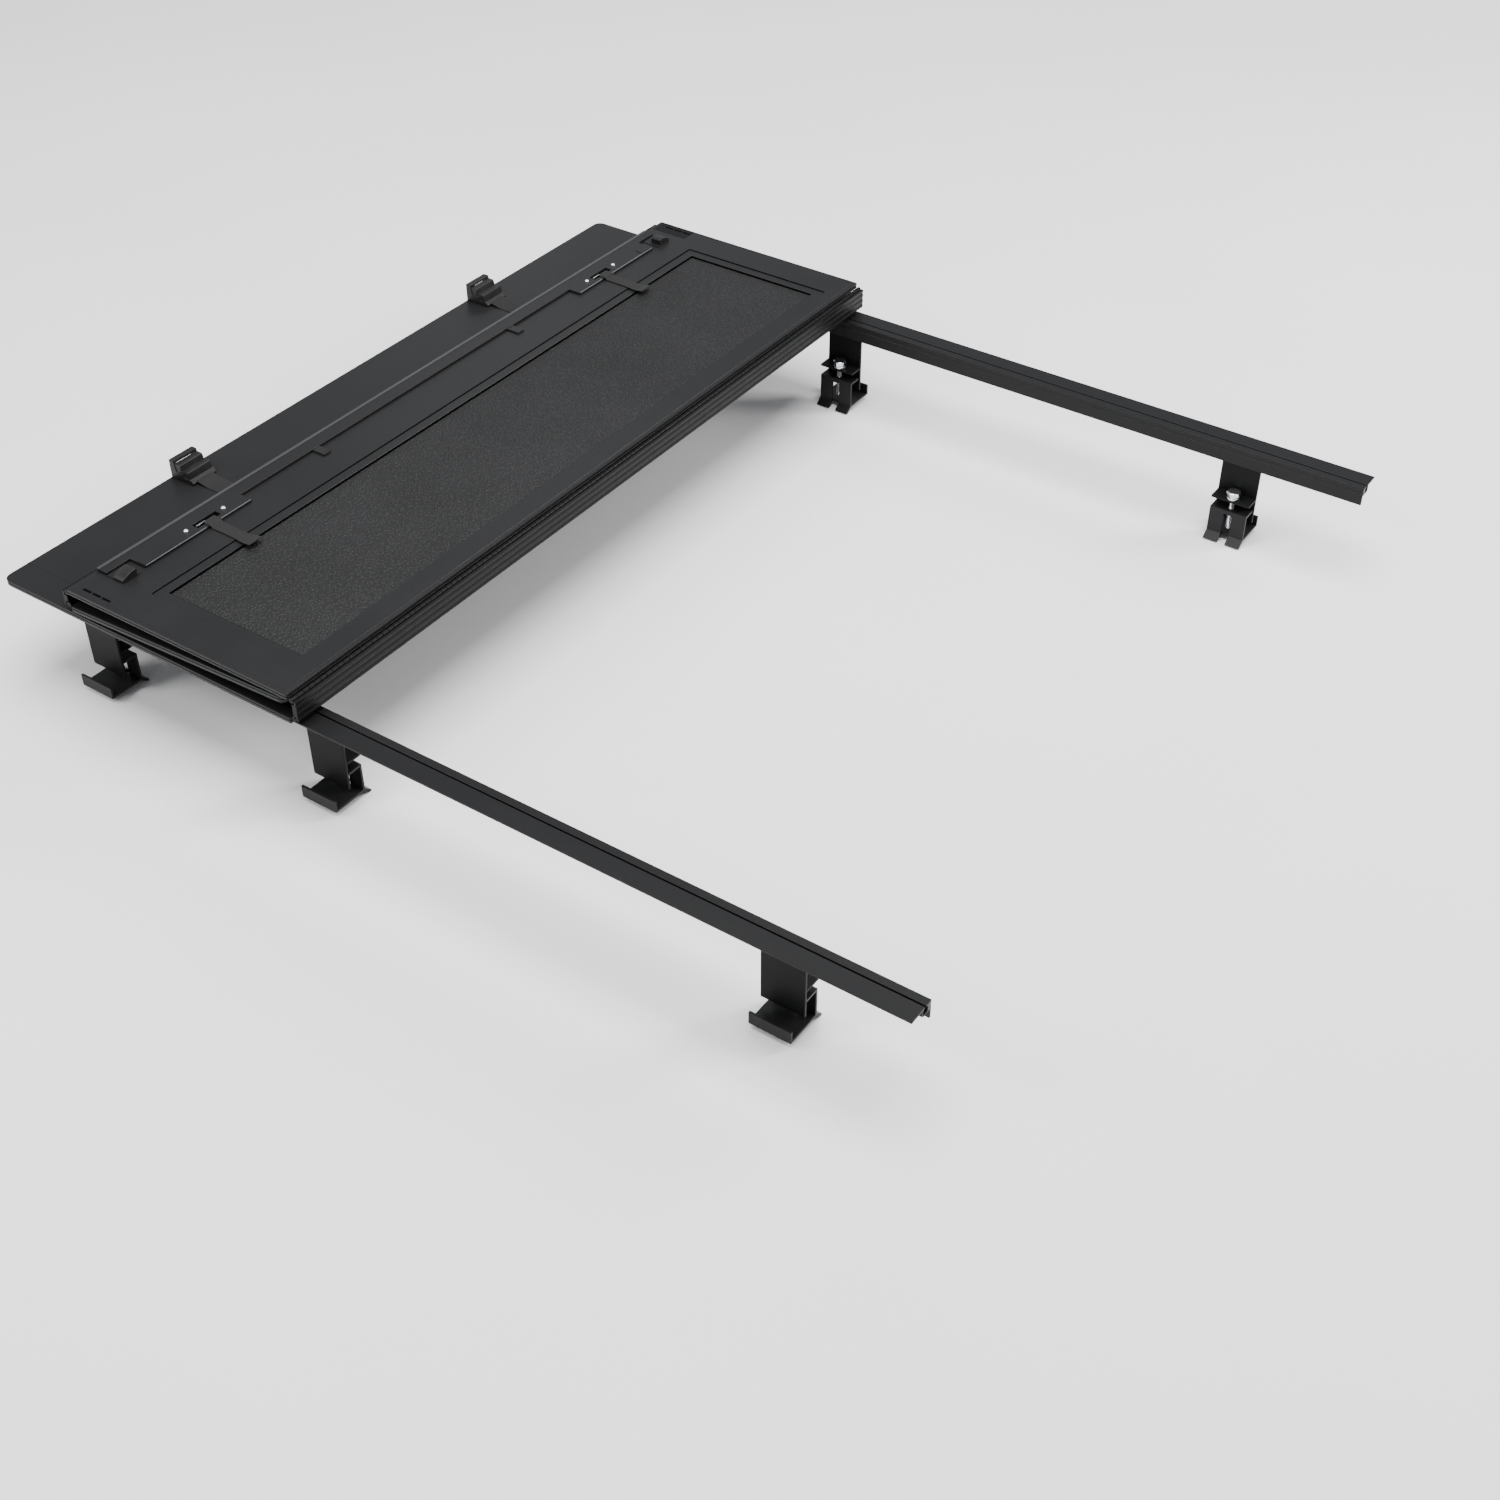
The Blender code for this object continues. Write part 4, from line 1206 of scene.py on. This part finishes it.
class COVER_OT_rails(PieceOperator, bpy.types.Operator):
    """Builds the side rails and the seals"""

    bl_idname = "cover.rails"
    bl_label = "Rails and seals"

    def build(self, sizes):
        for side in SIDES:
            finished_copy(f"side_rail_{side}", "rail_coat", sizes.fine_edge)
        for node in ("bulkhead_seal", "tailgate_seal"):
            finished_copy(node, "seal_rubber", 0.0022, segments=3)


class COVER_OT_clamps(PieceOperator, bpy.types.Operator):
    """Builds the six clamps: brackets, threaded bolts and forked jaws"""

    bl_idname = "cover.clamps"
    bl_label = "Clamps"

    def build(self, sizes):
        for side in SIDES:
            for row in ROWS:
                finished_copy(f"clamp_bracket_{side}_{row}", "clamp_coat", sizes.edge)
                finished_copy(f"clamp_jaw_{side}_{row}", "jaw_coat", sizes.edge)
                node = f"clamp_bolt_{side}_{row}"
                name = f"{node}_threaded"
                mesh = bolt_skin(name, node, sizes.thread)
                make_piece(name, mesh, "plated_bolt", BODY_OF[node], (node,), 30.0, False)


class COVER_OT_stage(PieceOperator, bpy.types.Operator):
    """Builds the floor, the lights, the world and the camera"""

    bl_idname = "cover.stage"
    bl_label = "Stage"

    def build(self, sizes):
        half = FLOOR_HALF_SIZE
        level = CAD_BOX[0][2] - FLOOR_GAP
        corners = np.array(
            [(-half, -half, level), (half, -half, level), (half, half, level), (-half, half, level)]
        )
        mesh = mesh_from_arrays("floor", corners, [[0, 1, 2, 3]])
        floor = bpy.data.objects.new("floor", mesh)
        mesh.materials.append(finish("floor"))
        bpy.context.scene.collection.objects.link(floor)
        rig.stage(floor)
        for name, (place, aim, size, power) in LAMPS.items():
            lamp = bpy.data.lights.new(name, "AREA")
            lamp.shape = "SQUARE"
            lamp.size = size
            lamp.energy = power
            obj = bpy.data.objects.new(name, lamp)
            obj.location = place
            obj.rotation_euler = (Vector(aim) - Vector(place)).to_track_quat("-Z", "Y").to_euler()
            bpy.context.scene.collection.objects.link(obj)
        world = bpy.data.worlds.new("studio")
        world.use_nodes = True
        backdrop = world.node_tree.nodes["Background"]
        backdrop.inputs["Color"].default_value = WORLD_COLOUR
        backdrop.inputs["Strength"].default_value = WORLD_STRENGTH
        bpy.context.scene.world = world
        camera = bpy.data.cameras.new("camera")
        camera.sensor_width = CAMERA_SENSOR
        camera.lens = CAMERA_LENS
        obj = bpy.data.objects.new("camera", camera)
        obj.location = CAMERA_PLACE
        obj.rotation_euler = CAMERA_TURN
        bpy.context.scene.collection.objects.link(obj)
        bpy.context.scene.camera = obj


OPERATORS = (
    COVER_OT_panels,
    COVER_OT_hinges,
    COVER_OT_latches,
    COVER_OT_straps,
    COVER_OT_storage,
    COVER_OT_rails,
    COVER_OT_clamps,
    COVER_OT_stage,
)


class COVER_PT_sidebar(bpy.types.Panel):
    """Lists the cover's sizes, colours and operators"""

    bl_idname = "COVER_PT_sidebar"
    bl_label = "Bed cover"
    bl_space_type = "VIEW_3D"
    bl_region_type = "UI"
    bl_category = "Bed cover"

    def draw(self, context):
        for group in (context.scene.cover_sizes, context.scene.cover_colours):
            for name in group.__annotations__:
                self.layout.prop(group, name)
        for operator in OPERATORS:
            self.layout.operator(operator.bl_idname)


CLASSES = (CoverSizes, CoverColours, *OPERATORS, COVER_PT_sidebar)


def register():
    for cls in CLASSES:
        bpy.utils.register_class(cls)
    bpy.types.Scene.cover_sizes = PointerProperty(type=CoverSizes)
    bpy.types.Scene.cover_colours = PointerProperty(type=CoverColours)


def unregister():
    del bpy.types.Scene.cover_colours
    del bpy.types.Scene.cover_sizes
    for cls in reversed(CLASSES):
        bpy.utils.unregister_class(cls)


def main():
    register()
    for operator in OPERATORS:
        group, name = operator.bl_idname.split(".")
        getattr(getattr(bpy.ops, group), name)()
    sizes = {
        "cad": [[float(c) for c in corner] for corner in CAD_BOX],
        "visual": [[float(c) for c in corner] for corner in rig.bounds()],
    }
    with open("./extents.json", "w") as out:
        json.dump(sizes, out)


if __name__ == "__main__":
    main()
